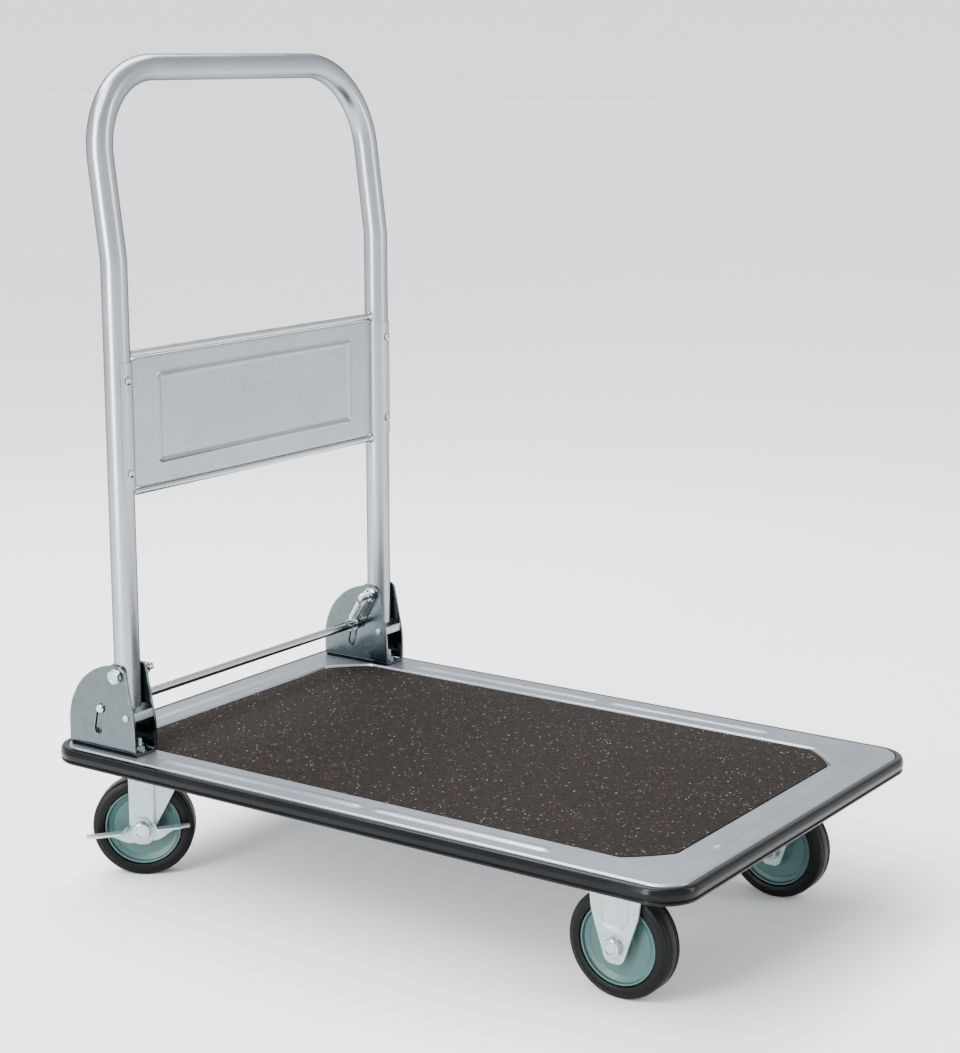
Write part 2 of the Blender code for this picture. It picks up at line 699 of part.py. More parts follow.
def panel_screws(tube, panel, frame):
    """Two screws on each leg, through the panel's wrapped end and the front of the tube."""
    seat = TUBE_RADIUS + 2 * GAP + PANEL_STEEL
    forwards = (0, math.pi / 2, 0)
    flange = SCREW_HEAD_RADIUS - 1 * MM
    profile = [(0, SCREW_HEAD_HEIGHT), (flange, SCREW_HEAD_HEIGHT * 0.8), (SCREW_HEAD_RADIUS, 0)]
    profile += [(SCREW_RADIUS, 0), (SCREW_RADIUS, -SCREW_LENGTH), (0, -SCREW_LENGTH)]
    heights = (("upper", PANEL_TOP - SCREW_INSET), ("lower", PANEL_BOTTOM + SCREW_INSET))
    for side_name, side in (("left", -1), ("right", 1)):
        for level, height in heights:
            where = {"parent": frame, "at": (seat, side * LEG_Y, height), "turn": forwards}
            place(turned(f"panel_screw_{level}_{side_name}", profile, 12), "bright_zinc", **where)
            hole = place(drill("screw_hole", SCREW_RADIUS + GAP, SCREW_LENGTH + 2 * MM), **where)
            cut(tube, hole)
            cut(panel, hole)


# ---------------------------------------------------------------- castors


def wheel(side_name, frame):
    """A rubber tyre on a plastic hub, about the frame's Y axis. The tyre stands on one of its flats."""
    across = (math.pi / 2, 0, 0)
    half = TYRE_WIDTH / 2
    flats = 32
    half_turn = math.pi / flats
    tread = WHEEL_RADIUS / math.cos(half_turn)
    tyre = [(HUB_RADIUS + GAP, half - 2 * MM), (HUB_RADIUS + 3 * MM, half), (tread - 4 * MM, half)]
    tyre += [(tread, half - 4 * MM)]
    tyre += [(radius, -height) for radius, height in reversed(tyre)]
    standing = (math.pi / 2, half_turn, 0)
    place(turned("tyre_" + side_name, tyre, flats, closed=True), "tyre_rubber", frame, turn=standing)
    boss = FORK_INNER - GAP - 0.4 * MM
    rim, web = HUB_WIDTH / 2, HUB_WEB / 2
    hub = [(AXLE_RADIUS + GAP, boss), (BOSS_RADIUS - 2 * MM, boss), (BOSS_RADIUS, web)]
    hub += [(HUB_RADIUS - 6 * MM, web), (HUB_RADIUS - 4 * MM, rim), (HUB_RADIUS, rim)]
    hub += [(radius, -height) for radius, height in reversed(hub)]
    place(turned("hub_" + side_name, hub, 24, closed=True), "hub_plastic", frame, turn=across)


def fork(name, crown, outline, frame):
    """A strip bent into a U over the wheel, trimmed to its side outline; crown is its top face."""
    half = FORK_INNER + FORK_STEEL / 2
    top = crown - FORK_STEEL / 2
    path = [(-half, 0)]
    path += fillet((-half, 0), (-half, top), (half, top), FORK_BEND, 4)
    path += fillet((-half, top), (half, top), (half, 0), FORK_BEND, 4)
    path += [(half, 0)]
    made = folded_sheet(name, path, FORK_BLANK, FORK_STEEL)
    place(made, "fork_zinc", frame, turn=(math.pi / 2, 0, math.pi / 2))
    trim = flat(name + "_trim", outline, TRIM_WIDTH)
    return combine(made, place(trim, parent=frame, turn=(math.pi / 2, 0, 0)), "INTERSECT")


def drill_axle(obj, frame, at=(0, 0, WHEEL_RADIUS)):
    hole = drill("axle_hole", AXLE_RADIUS + GAP, 40 * MM)
    cut(obj, place(hole, parent=frame, at=at, turn=(math.pi / 2, 0, 0)))


def leg_outline(axle_x, rear_top, front_top, top, rear_foot, front_foot):
    """A fork leg from the side: a flat top, edges that run down to the axle, and a rounded tip."""
    shoulder = WHEEL_RADIUS + 1 * MM
    tip = WHEEL_RADIUS - FORK_TIP
    return filleted([
        ((rear_top, top), 0),
        ((rear_foot, shoulder), FORK_FOOT_RADIUS),
        ((axle_x - FORK_TIP, tip), FORK_TIP * 0.75),
        ((axle_x + FORK_TIP, tip), FORK_TIP * 0.75),
        ((front_foot, shoulder), FORK_FOOT_RADIUS),
        ((front_top, top), 0),
    ], 4)


def plate_outline():
    return rounded_rectangle(PLATE_LENGTH, PLATE_WIDTH, PLATE_CORNER, 3)


def fixed_castor(side_name, side):
    """A rigid castor: a fork with its plate, and a wheel on a bolt whose head faces outwards."""
    frame = empty("fixed_castor_" + side_name, (FIXED_X, side * CASTOR_Y, 0))
    top = PLATE_TOP + ABOVE_SHEET
    outline = leg_outline(0, -FORK_TOP_HALF, FORK_TOP_HALF, top, -FORK_TIP, FORK_TIP)
    made = fork("fixed_fork_" + side_name, PLATE_TOP - 0.2 * MM, outline, frame)
    plate = flat("fixed_plate", plate_outline(), PLATE_STEEL)
    join(made, place(plate, parent=frame, at=(0, 0, PLATE_TOP - PLATE_STEEL / 2)))
    drill_axle(made, frame)
    axle = empty("fixed_axle_" + side_name, (0, 0, WHEEL_RADIUS), parent=frame)
    wheel("front_" + side_name, axle)
    axle_bolt("front_" + side_name, FORK_INNER + FORK_STEEL + GAP, side, axle)


def axle_bolt(side_name, head_at, side, axle):
    """The wheel's bolt, with its head on the given side, and the nut beyond the other leg."""
    nut_at = FORK_INNER + FORK_STEEL + GAP
    length = head_at + nut_at + M10[2] + BOLT_TAIL
    outward = (-side * math.pi / 2, 0, 0)
    inward = (side * math.pi / 2, 0, 0)
    hex_bolt("axle_bolt_" + side_name, M10, length, parent=axle, at=(0, side * head_at, 0), turn=outward)
    hex_nut("axle_nut_" + side_name, M10, parent=axle, at=(0, -side * nut_at, 0), turn=inward)


def swivel_castor(side_name, side):
    """A castor that turns on its king pin, with a foot brake lever on its axle."""
    base = (SWIVEL_X, side * CASTOR_Y, 0)
    pin_hole = KINGPIN_RADIUS + GAP
    plate = flat("swivel_plate_" + side_name, plate_outline(), PLATE_STEEL, [circle(pin_hole)])
    place(plate, "fork_zinc", at=(base[0], base[1], PLATE_TOP - PLATE_STEEL / 2))
    half = RACE_HEIGHT / 2
    race = [(pin_hole, half), (RACE_RADIUS - 4 * MM, half), (RACE_RADIUS, 1 * MM)]
    race += [(RACE_RADIUS, -half), (pin_hole, -half)]
    race_at = (base[0], base[1], RACE_TOP - half)
    place(turned("swivel_race_" + side_name, race, 28, closed=True), "fork_zinc", at=race_at)
    head_top = CROWN_TOP - FORK_STEEL - GAP
    head_low = head_top - KINGPIN_HEAD_HEIGHT
    pin = [(0, PLATE_TOP - GAP), (KINGPIN_RADIUS, PLATE_TOP - GAP), (KINGPIN_RADIUS, head_top)]
    pin += [(KINGPIN_HEAD_RADIUS, head_top), (KINGPIN_HEAD_RADIUS - 2 * MM, head_low), (0, head_low)]
    place(turned("kingpin_" + side_name, pin, 20), "bright_zinc", at=base)

    frame = empty("swivel_axis_" + side_name, base, SWIVEL_TURN)
    rear = -SWIVEL_TRAIL - FORK_TIP
    front_foot = -SWIVEL_TRAIL + FORK_TIP + 3 * MM
    outline = leg_outline(-SWIVEL_TRAIL, rear, RACE_RADIUS, CROWN_TOP + ABOVE_SHEET, rear, front_foot)
    made = fork("swivel_fork_" + side_name, CROWN_TOP, outline, frame)
    drill_axle(made, frame, (-SWIVEL_TRAIL, 0, WHEEL_RADIUS))
    hole = drill("kingpin_hole", pin_hole, 6 * MM, 20)
    cut(made, place(hole, parent=frame, at=(0, 0, CROWN_TOP)))
    axle = empty("swivel_axle_" + side_name, (-SWIVEL_TRAIL, 0, WHEEL_RADIUS), parent=frame)
    wheel("rear_" + side_name, axle)
    lever_at = FORK_INNER + FORK_STEEL + GAP
    axle_bolt("rear_" + side_name, lever_at + LEVER_STEEL + GAP, -1, axle)
    brake_lever("brake_lever_" + side_name, lever_at, axle)


def brake_lever(name, inner_face, axle):
    """A boss plate on the axle with a flat foot wing on each side."""
    tilt = (0, -LEVER_TILT, 0)
    boss = flat(name, circle(LEVER_BOSS, 20), LEVER_STEEL, [circle(AXLE_RADIUS + GAP, 16)])
    boss.data.transform(Matrix.Rotation(math.pi / 2, 4, "X"))
    boss.data.transform(Matrix.Translation((0, -inner_face - LEVER_STEEL / 2, 0)))
    place(boss, "fork_zinc", axle, turn=tilt)
    for direction, reach in zip((-1, 1), LEVER_REACH):
        root, tip = direction * LEVER_ROOT, direction * reach
        outline = [(root, 0), (tip * 0.9, 0), (tip, -LEVER_WIDTH * 0.35), (tip, -LEVER_WIDTH * 0.8)]
        outline += [(tip * 0.85, -LEVER_WIDTH), (direction * LEVER_SHOULDER, -LEVER_WIDTH)]
        outline += [(root, -LEVER_STEEL)]
        wing = flat(name + "_wing", outline, LEVER_STEEL)
        wing.data.transform(Matrix.Translation((0, -inner_face, 0)))
        join(boss, place(wing, parent=axle, turn=tilt))


# ---------------------------------------------------------------- the cart


def build():
    deck_plate()
    deck_mat()
    edge_bumper()
    cross_channel("rear_channel", SWIVEL_X)
    cross_channel("front_channel", FIXED_X)

    pivot = empty("handle_pivot", (PIVOT_X, 0, PIVOT_Z))
    tube = handle_tube(pivot)
    panel = handle_panel(pivot)
    rod_offset = CROSS_ROD_CLEARANCE + CROSS_ROD_RADIUS
    cross_rod("upper_cross_rod", PANEL_TOP + rod_offset, pivot)
    cross_rod("lower_cross_rod", PANEL_BOTTOM - rod_offset, pivot)
    panel_screws(tube, panel, pivot)

    lock = empty("lock_axis", (PIVOT_X - LOCK_BEHIND_PIVOT, 0, PIVOT_Z - LOCK_BELOW_PIVOT))
    lock_bar(lock)

    for side_name, side in (("left", -1), ("right", 1)):
        frame = empty("bracket_frame_" + side_name, (PIVOT_X, side * LEG_Y, PIVOT_Z))
        bracket("bracket_" + side_name, frame)
        bracket_fasteners(side_name, side, frame)
        lock_spring("lock_spring_" + side_name, side, frame)
        fixed_castor(side_name, side)
        swivel_castor(side_name, side)


clear_scene()
CART = new_collection("folding_platform_cart")
CUTTERS = new_collection("cutters")
build()
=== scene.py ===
"""Folding platform cart: the finished surfaces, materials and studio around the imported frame.

The file is laid out as an add-on, with one operator for each group of pieces, and is run as a script.
Lengths are in metres, +Z is up, the handle stands at the -X end and the deck's free end is at +X.
"""

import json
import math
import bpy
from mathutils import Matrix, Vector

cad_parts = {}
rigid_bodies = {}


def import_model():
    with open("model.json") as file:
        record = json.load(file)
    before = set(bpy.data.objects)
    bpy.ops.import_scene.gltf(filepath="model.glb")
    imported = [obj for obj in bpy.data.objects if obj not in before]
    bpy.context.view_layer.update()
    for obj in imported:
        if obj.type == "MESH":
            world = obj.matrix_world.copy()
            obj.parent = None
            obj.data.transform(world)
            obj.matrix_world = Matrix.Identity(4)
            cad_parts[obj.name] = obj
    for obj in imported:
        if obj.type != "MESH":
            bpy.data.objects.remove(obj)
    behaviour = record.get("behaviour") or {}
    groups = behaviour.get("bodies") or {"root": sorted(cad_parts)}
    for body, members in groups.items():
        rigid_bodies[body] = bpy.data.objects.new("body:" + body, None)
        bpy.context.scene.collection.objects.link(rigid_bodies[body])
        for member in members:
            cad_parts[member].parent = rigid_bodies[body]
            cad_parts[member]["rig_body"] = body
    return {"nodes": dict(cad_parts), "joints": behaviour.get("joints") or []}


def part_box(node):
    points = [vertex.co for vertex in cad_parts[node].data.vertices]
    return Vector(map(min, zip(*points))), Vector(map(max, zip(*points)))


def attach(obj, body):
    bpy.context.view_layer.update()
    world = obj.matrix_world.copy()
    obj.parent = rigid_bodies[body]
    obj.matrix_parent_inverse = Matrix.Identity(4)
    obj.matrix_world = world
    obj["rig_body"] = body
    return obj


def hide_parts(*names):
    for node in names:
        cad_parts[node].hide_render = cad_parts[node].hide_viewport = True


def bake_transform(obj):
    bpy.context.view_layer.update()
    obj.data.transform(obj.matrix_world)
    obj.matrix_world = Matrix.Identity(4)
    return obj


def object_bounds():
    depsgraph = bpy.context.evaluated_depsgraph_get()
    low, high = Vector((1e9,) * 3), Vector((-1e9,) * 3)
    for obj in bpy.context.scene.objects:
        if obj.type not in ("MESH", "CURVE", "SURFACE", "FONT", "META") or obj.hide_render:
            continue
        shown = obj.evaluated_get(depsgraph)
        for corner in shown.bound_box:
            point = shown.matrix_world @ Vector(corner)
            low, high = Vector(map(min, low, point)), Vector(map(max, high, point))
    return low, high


bl_info = {
    "name": "Folding Platform Cart",
    "version": (1, 0, 0),
    "blender": (4, 5, 0),
    "location": "3D View > Sidebar > Cart",
    "description": "Builds the deck, handle, brackets and castors of a folding platform cart",
    "category": "Add Mesh",
}

import bmesh
import bpy
import numpy as np
from bpy.props import FloatProperty, FloatVectorProperty, IntProperty, PointerProperty
from mathutils import Euler, Vector

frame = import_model()
CAD_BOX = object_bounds()

MM = 0.001
MERGE = 0.00002  # points closer than this are one
SIDES = (("left", -1), ("right", 1))
ROUND = 0.5523  # share of a corner's reach that makes a cubic curve a quarter circle


# ---------------------------------------------------------------- readings from the frame


def corners_of(node):
    low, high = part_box(node)
    return np.array(low), np.array(high)


def centre_of(node):
    low, high = corners_of(node)
    return (low + high) / 2


def joint_of(name):
    return next(joint for joint in frame["joints"] if joint["name"] == name)


def body_of(node):
    return frame["nodes"][node]["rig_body"]


def pivot_point(side):
    """The point where the handle's leg turns on its bolt."""
    x, _, z = joint_of("handle_fold")["pos_m"]
    low, high = corners_of("bracket_left")
    return np.array([x, side * abs(low[1] + high[1]) / 2, z])


def wheel_frame(corner):
    """(axle centre, 3x3 axes) of a wheel: its own X ahead, Y along the axle and Z up."""
    end, side_name = corner.split("_")
    joint = joint_of(f"{end}_wheel_spin_{side_name}")
    along = unit(np.array(joint["axis"], float))
    up = np.array([0.0, 0.0, 1.0])
    return np.array(joint["pos_m"], float), np.array([np.cross(along, up), along, up])


# ---------------------------------------------------------------- outlines and paths


def unit(vector):
    """The vector, or each row of an array of them, divided by its length."""
    return vector / np.linalg.norm(vector, axis=-1, keepdims=True)


def smooth(share):
    """0 below 0, 1 above 1, and share squared times (3 - 2 share) between."""
    share = np.clip(share, 0, 1)
    return share * share * (3 - 2 * share)


def hinge(value, softness):
    """The value where it is positive and 0 where it isn't, softly joined: half of the value plus the
    root of the sum of its square and the softness squared."""
    return (value + np.sqrt(value * value + softness * softness)) / 2


def circle(radius, count=48):
    angle = np.linspace(0, math.tau, count, endpoint=False)
    return radius * np.stack([np.cos(angle), np.sin(angle)], axis=1)


def eased(corners, closed=False, steps=6):
    """Points through (coordinates..., radius) corners, each rounded by an arc of its radius.
    The arc's centre lies on the corner's bisector, at the radius over the sine of half its angle."""
    table = np.array(corners, float)
    points, radii = table[:, :-1], table[:, -1]
    runs = []
    for i, radius in enumerate(radii):
        at_end = not closed and i in (0, len(points) - 1)
        if at_end or radius == 0:
            runs.append(points[i][None])
            continue
        before, after = unit(points[i - 1] - points[i]), unit(points[(i + 1) % len(points)] - points[i])
        half = np.arccos(np.clip(before @ after, -1, 1)) / 2
        middle, across = unit(before + after), unit(before - after)
        angle = np.linspace(math.pi / 2 - half, half - math.pi / 2, steps + 1)[:, None]
        centre = points[i] + middle * radius / math.sin(half)
        runs.append(centre + radius * (np.sin(angle) * across - np.cos(angle) * middle))
    return np.concatenate(runs)


def ring(length, width, reach, bulge=ROUND, sides=(150, 90), corner=22):
    """A closed outline: straight sides joined by cubic curves that begin `reach` before each corner
    and lean towards it by `bulge` of that reach. The second half is the first turned half way round."""
    x, y = length / 2, width / 2

    def run(start, end, count):
        share = np.linspace(0, 1, count, endpoint=False)[:, None]
        return np.array(start) * (1 - share) + np.array(end) * share

    def bend(start, end, point):
        t = np.linspace(0, 1, corner, endpoint=False)[:, None]
        start, end, point = np.array(start), np.array(end), np.array(point)
        lead, trail = start + (point - start) * bulge, end + (point - end) * bulge
        return start * (1 - t) ** 3 + 3 * lead * t * (1 - t) ** 2 + 3 * trail * t * t * (1 - t) + end * t**3

    half = np.concatenate([
        run((x, reach - y), (x, y - reach), sides[1]),
        bend((x, y - reach), (x - reach, y), (x, y)),
        run((x - reach, y), (reach - x, y), sides[0]),
        bend((reach - x, y), (-x, y - reach), (-x, y)),
    ])
    return np.concatenate([half, -half])


def at_height(outline, height):
    """A flat outline lifted to one height, or to a height for each point."""
    return np.column_stack([outline, np.broadcast_to(height, len(outline))])


def past_edges(past_first, past_second):
    """Distance out from a rectangle, from how far a point is past its sides each way: the length of
    the two where they are positive, plus the larger one where both are negative."""
    outside = np.hypot(np.maximum(past_first, 0), np.maximum(past_second, 0))
    return outside + np.minimum(np.maximum(past_first, past_second), 0)


# ---------------------------------------------------------------- surfaces


def surface(name, points, around=(False, False), shut=True):
    """A mesh of the quads between neighbouring points of a (rows, columns, 3) grid. `around` joins the
    last row, or column, to the first. Coincident points are merged, and a shut surface faces outwards."""
    rows, columns = points.shape[:2]
    index = np.arange(rows * columns).reshape(rows, columns)
    if around[0]:
        index = np.concatenate([index, index[:1]])
    if around[1]:
        index = np.concatenate([index, index[:, :1]], axis=1)
    quads = np.stack([index[:-1, :-1], index[1:, :-1], index[1:, 1:], index[:-1, 1:]], axis=-1)
    mesh = bpy.data.meshes.new(name)
    mesh.from_pydata(points.reshape(-1, 3), [], quads.reshape(-1, 4))
    shape = bmesh.new()
    shape.from_mesh(mesh)
    bmesh.ops.remove_doubles(shape, verts=shape.verts, dist=MERGE)
    if shut:
        bmesh.ops.recalc_face_normals(shape, faces=shape.faces)
    shape.to_mesh(mesh)
    shape.free()
    made = bpy.data.objects.new(name, mesh)
    bpy.context.scene.collection.objects.link(made)
    return made


def baked(piece, sharp=32, cutters=()):
    """The piece with its modifiers made real, shaded smooth over every edge gentler than the angle."""
    bpy.context.view_layer.update()
    graph = bpy.context.evaluated_depsgraph_get()
    mesh = bpy.data.meshes.new_from_object(piece.evaluated_get(graph))
    piece.modifiers.clear()
    piece.data = mesh
    mesh.shade_smooth()
    mesh.set_sharp_from_angle(angle=math.radians(sharp))
    for cutter in cutters:
        bpy.data.objects.remove(cutter, do_unlink=True)
    return piece


def walled(piece, thickness, offset=0.0, edge=0.35 * MM, cutters=()):
    """An open sheet given its thickness, its holes and its softened edges."""
    wall = piece.modifiers.new("wall", "SOLIDIFY")
    wall.thickness = thickness
    wall.offset = offset
    wall.use_even_offset = True
    return softened(piece, edge, cutters)


def softened(piece, edge, cutters=()):
    """A closed piece with its holes cut and its sharp edges rounded."""
    for cutter in cutters:
        hole = piece.modifiers.new("hole", "BOOLEAN")
        hole.operation = "DIFFERENCE"
        hole.object = cutter
    if edge:
        bevel = piece.modifiers.new("edge", "BEVEL")
        bevel.width = edge
        bevel.segments = 2
        bevel.limit_method = "ANGLE"
        bevel.angle_limit = math.radians(50)
        bevel.use_clamp_overlap = True
    return baked(piece, cutters=cutters)


def cross_axes(axis):
    """Two directions square to an axis and to each other."""
    helper = np.array([0.0, 0.0, 1.0]) if abs(axis[2]) < 0.9 else np.array([1.0, 0.0, 0.0])
    first = unit(np.cross(helper, axis))
    return first, np.cross(axis, first)


def spun(radii, heights, origin, axis):
    """Points at a radius and a height for each row and each angle: the origin, plus the height along
    the axis, plus the radius along the direction of the angle."""
    first, second = cross_axes(axis)
    angle = np.linspace(0, math.tau, radii.shape[1], endpoint=False)
    outward = np.cos(angle)[:, None] * first + np.sin(angle)[:, None] * second
    return origin + heights[..., None] * axis + radii[..., None] * outward


def turned(name, profile, origin, axis, steps=96, loop=False, sharp=32):
    """A (radius, height) profile turned about an axis; a loop profile makes a ring."""
    axis = unit(np.array(axis, float))
    radii, heights = (np.repeat(profile[:, [i]], steps, axis=1) for i in (0, 1))
    return baked(surface(name, spun(radii, heights, origin, axis), (loop, True)), sharp)


def slab(name, outline, low, high, edge, axes=np.eye(3), origin=(0, 0, 0), rows=2):
    """A closed plate: an outline carried up its side, in over an eased edge, and shut at the middle.
    The edge is a quarter circle: its inset is one less the angle's cosine, and its rise the sine, each
    times the edge."""
    angle = np.linspace(0, math.pi / 2, rows + 1)
    inset, rise = edge * (1 - np.cos(angle)), edge * np.sin(angle)
    centre = (outline.max(axis=0) + outline.min(axis=0)) / 2
    half = (outline.max(axis=0) - outline.min(axis=0)) / 2

    def level(step, height):
        return at_height(centre + (outline - centre) * (1 - step / half), height)

    sides = [level(i, low + edge - r) for i, r in zip(inset[::-1], rise[::-1])]
    sides += [level(i, high - edge + r) for i, r in zip(inset, rise)]
    ends = [at_height(np.broadcast_to(centre, outline.shape), height) for height in (low, high)]
    grid = np.stack([ends[0], *sides, ends[1]])
    return surface(name, grid @ axes + np.array(origin, float), (False, True))


def carried(name, section, path, side, stations=None, scale=None):
    """A closed section carried along a path. At each station the section's first axis is the path's
    direction crossed with `side`, and its second is square to both. The section may shrink to a point."""
    along = unit(np.gradient(path, axis=0))
    first = unit(np.cross(along, side))
    second = np.cross(first, along)
    if stations is None:
        stations = [0, *range(len(path)), len(path) - 1]
        scale = [0.0, *np.ones(len(path)), 0.0]
    sized = section[None] * np.array(scale)[:, None, None]
    across, over = first[stations][:, None], second[stations][:, None]
    grid = path[stations][:, None] + sized[..., :1] * across + sized[..., 1:] * over
    return baked(surface(name, grid, (False, True)), 40)


def prism(outline, depth, axes, origin):
    """A cutter: a convex outline carried this far each way along its own Z."""
    return slab("cutter", outline, -depth, depth, 0, axes, origin, rows=0)


UPRIGHT = np.array([[1.0, 0, 0], [0, 0, 1.0], [0, -1.0, 0]])  # an outline's X stays X and its Y becomes Z
FACING = np.array([[0, 1.0, 0], [0, 0, 1.0], [1.0, 0, 0]])  # an outline's X becomes Y and its Y becomes Z


# ---------------------------------------------------------------- settings


class CartStageSettings(bpy.types.PropertyGroup):
    """Camera, floor and lights."""

    azimuth: FloatProperty(
        name="Camera Azimuth", description="Direction of view round the cart", subtype="ANGLE",
        default=math.radians(34.56),
    )
    elevation: FloatProperty(
        name="Camera Elevation", description="Height of view above the horizon", subtype="ANGLE",
        default=math.radians(11.95),
    )
    camera_place: FloatVectorProperty(
        name="Camera Place", description="Where the camera stands", subtype="TRANSLATION",
        default=(1.2063, -1.7486, 0.8153),
    )
    lens: FloatProperty(name="Lens", description="Focal length in millimetres", default=76.84, min=10)
    key_power: FloatProperty(
        name="Key Light", description="Power of the tall light on the left, in watts", default=110, min=0,
    )
    fill_power: FloatProperty(
        name="Fill Light", description="Power of the tall light on the right, in watts", default=30, min=0,
    )
    top_power: FloatProperty(
        name="Top Light", description="Power of the light overhead, in watts", default=100, min=0,
    )
    sun_power: FloatProperty(
        name="Soft Sun", description="Strength of the broad light on the floor", default=3.7, min=0,
    )
    sky: FloatProperty(
        name="Sky", description="Strength of the even light from overhead", default=1.0, min=0,
    )
    horizon: FloatProperty(
        name="Horizon", description="Strength of the light from the horizon", default=1.7, min=0,
    )
    floor_colour: FloatVectorProperty(
        name="Floor", description="Colour of the studio floor", subtype="COLOR", size=3,
        default=(0.86, 0.86, 0.86), min=0, max=1,
    )


class CartDeckSettings(bpy.types.PropertyGroup):
    """The pressed deck, its mat and its bumper."""

    steel: FloatProperty(
        name="Steel", description="Sheet thickness of the deck", unit="LENGTH", default=1.8 * MM,
    )
    corner: FloatProperty(
        name="Corner", description="Corner radius of the deck", unit="LENGTH", default=28 * MM,
    )
    edge: FloatProperty(
        name="Edge", description="Radius where the rim turns down", unit="LENGTH", default=3 * MM,
    )
    recess_depth: FloatProperty(
        name="Recess Depth", description="How far the mat's bed is sunk", unit="LENGTH", default=4 * MM,
    )
    recess_slope: FloatProperty(
        name="Recess Slope", description="How far the bed's wall leans out", unit="LENGTH",
        default=2.5 * MM,
    )
    recess_reach: FloatProperty(
        name="Recess Chamfer", description="Chamfer across the corners of the bed", unit="LENGTH",
        default=38 * MM,
    )
    mat_gap: FloatProperty(
        name="Mat Gap", description="Gap between the mat and its bed's wall", unit="LENGTH",
        default=0.8 * MM,
    )
    bead_width: FloatProperty(
        name="Bead Width", description="Width of the pressed beads in the rim", unit="LENGTH",
        default=15 * MM,
    )
    bead_height: FloatProperty(
        name="Bead Height", description="Height of the pressed beads", unit="LENGTH", default=1.5 * MM,
    )
    channel_steel: FloatProperty(
        name="Channel Steel", description="Sheet thickness of the cross channels", unit="LENGTH",
        default=2 * MM,
    )


class CartHandleSettings(bpy.types.PropertyGroup):
    """The bent tube and the panel between its legs."""

    bend_height: FloatProperty(
        name="Bend Height", description="Height of the bend above the pivot", unit="LENGTH",
        default=400 * MM,
    )
    bend_radius: FloatProperty(
        name="Bend Radius", description="Radius of the slight bend in each leg", unit="LENGTH",
        default=90 * MM,
    )
    lean: FloatProperty(
        name="Grip Lean", description="How far the upper part leans back", subtype="ANGLE",
        default=math.radians(7.5),
    )
    grip_corner: FloatProperty(
        name="Grip Corner", description="Radius of the two upper corners", unit="LENGTH", default=85 * MM,
    )
    panel_steel: FloatProperty(
        name="Panel Steel", description="Sheet thickness of the panel", unit="LENGTH", default=1 * MM,
    )
    panel_forward: FloatProperty(
        name="Panel Forward", description="Distance of the panel ahead of the legs' centres", unit="LENGTH",
        default=2.5 * MM,
    )
    panel_wrap: FloatProperty(
        name="Panel Wrap", description="Angle that the panel's ends wrap round the legs", subtype="ANGLE",
        default=math.radians(125),
    )
    bead_inset: FloatVectorProperty(
        name="Bead Inset", description="Distance of the pressed frame from the panel's sides and from its "
        "upper and lower edges", subtype="XYZ", size=3, default=(53 * MM, 19 * MM, 22 * MM),
    )


class CartBracketSettings(bpy.types.PropertyGroup):
    """The folded brackets that carry the handle."""

    steel: FloatProperty(
        name="Steel", description="Sheet thickness of a bracket", unit="LENGTH", default=2.5 * MM,
    )
    bend: FloatProperty(
        name="Bend", description="Radius of a bracket's two bends", unit="LENGTH", default=4.5 * MM,
    )
    shoulder: FloatProperty(
        name="Shoulder", description="Radius of the rounded rear shoulder", unit="LENGTH", default=66 * MM,
    )
    knee: FloatProperty(
        name="Knee", description="Depth below the pivot where the front edge turns upright", unit="LENGTH",
        default=48 * MM,
    )
    spring_turns: IntProperty(
        name="Spring Turns", description="Turns in each return spring", default=8, min=3,
    )


class CartCastorSettings(bpy.types.PropertyGroup):
    """Forks, wheels and brake pedals."""

    fork_gap: FloatProperty(
        name="Fork Gap", description="Distance between the legs of a fork", unit="LENGTH", default=30 * MM,
    )
    fork_steel: FloatProperty(
        name="Fork Steel", description="Sheet thickness of a fork", unit="LENGTH", default=2.5 * MM,
    )
    fork_tip: FloatProperty(
        name="Fork Tip", description="Reach of a fork's leg below its axle", unit="LENGTH", default=16 * MM,
    )
    tyre_width: FloatProperty(
        name="Tyre Width", description="Width of a tyre", unit="LENGTH", default=25 * MM,
    )
    hub_radius: FloatProperty(
        name="Hub Radius", description="Radius of a wheel centre", unit="LENGTH", default=38.4 * MM,
    )
    pedal_tilt: FloatProperty(
        name="Pedal Tilt", description="Tilt of the brake pedals at rest", subtype="ANGLE",
        default=math.radians(7),
    )


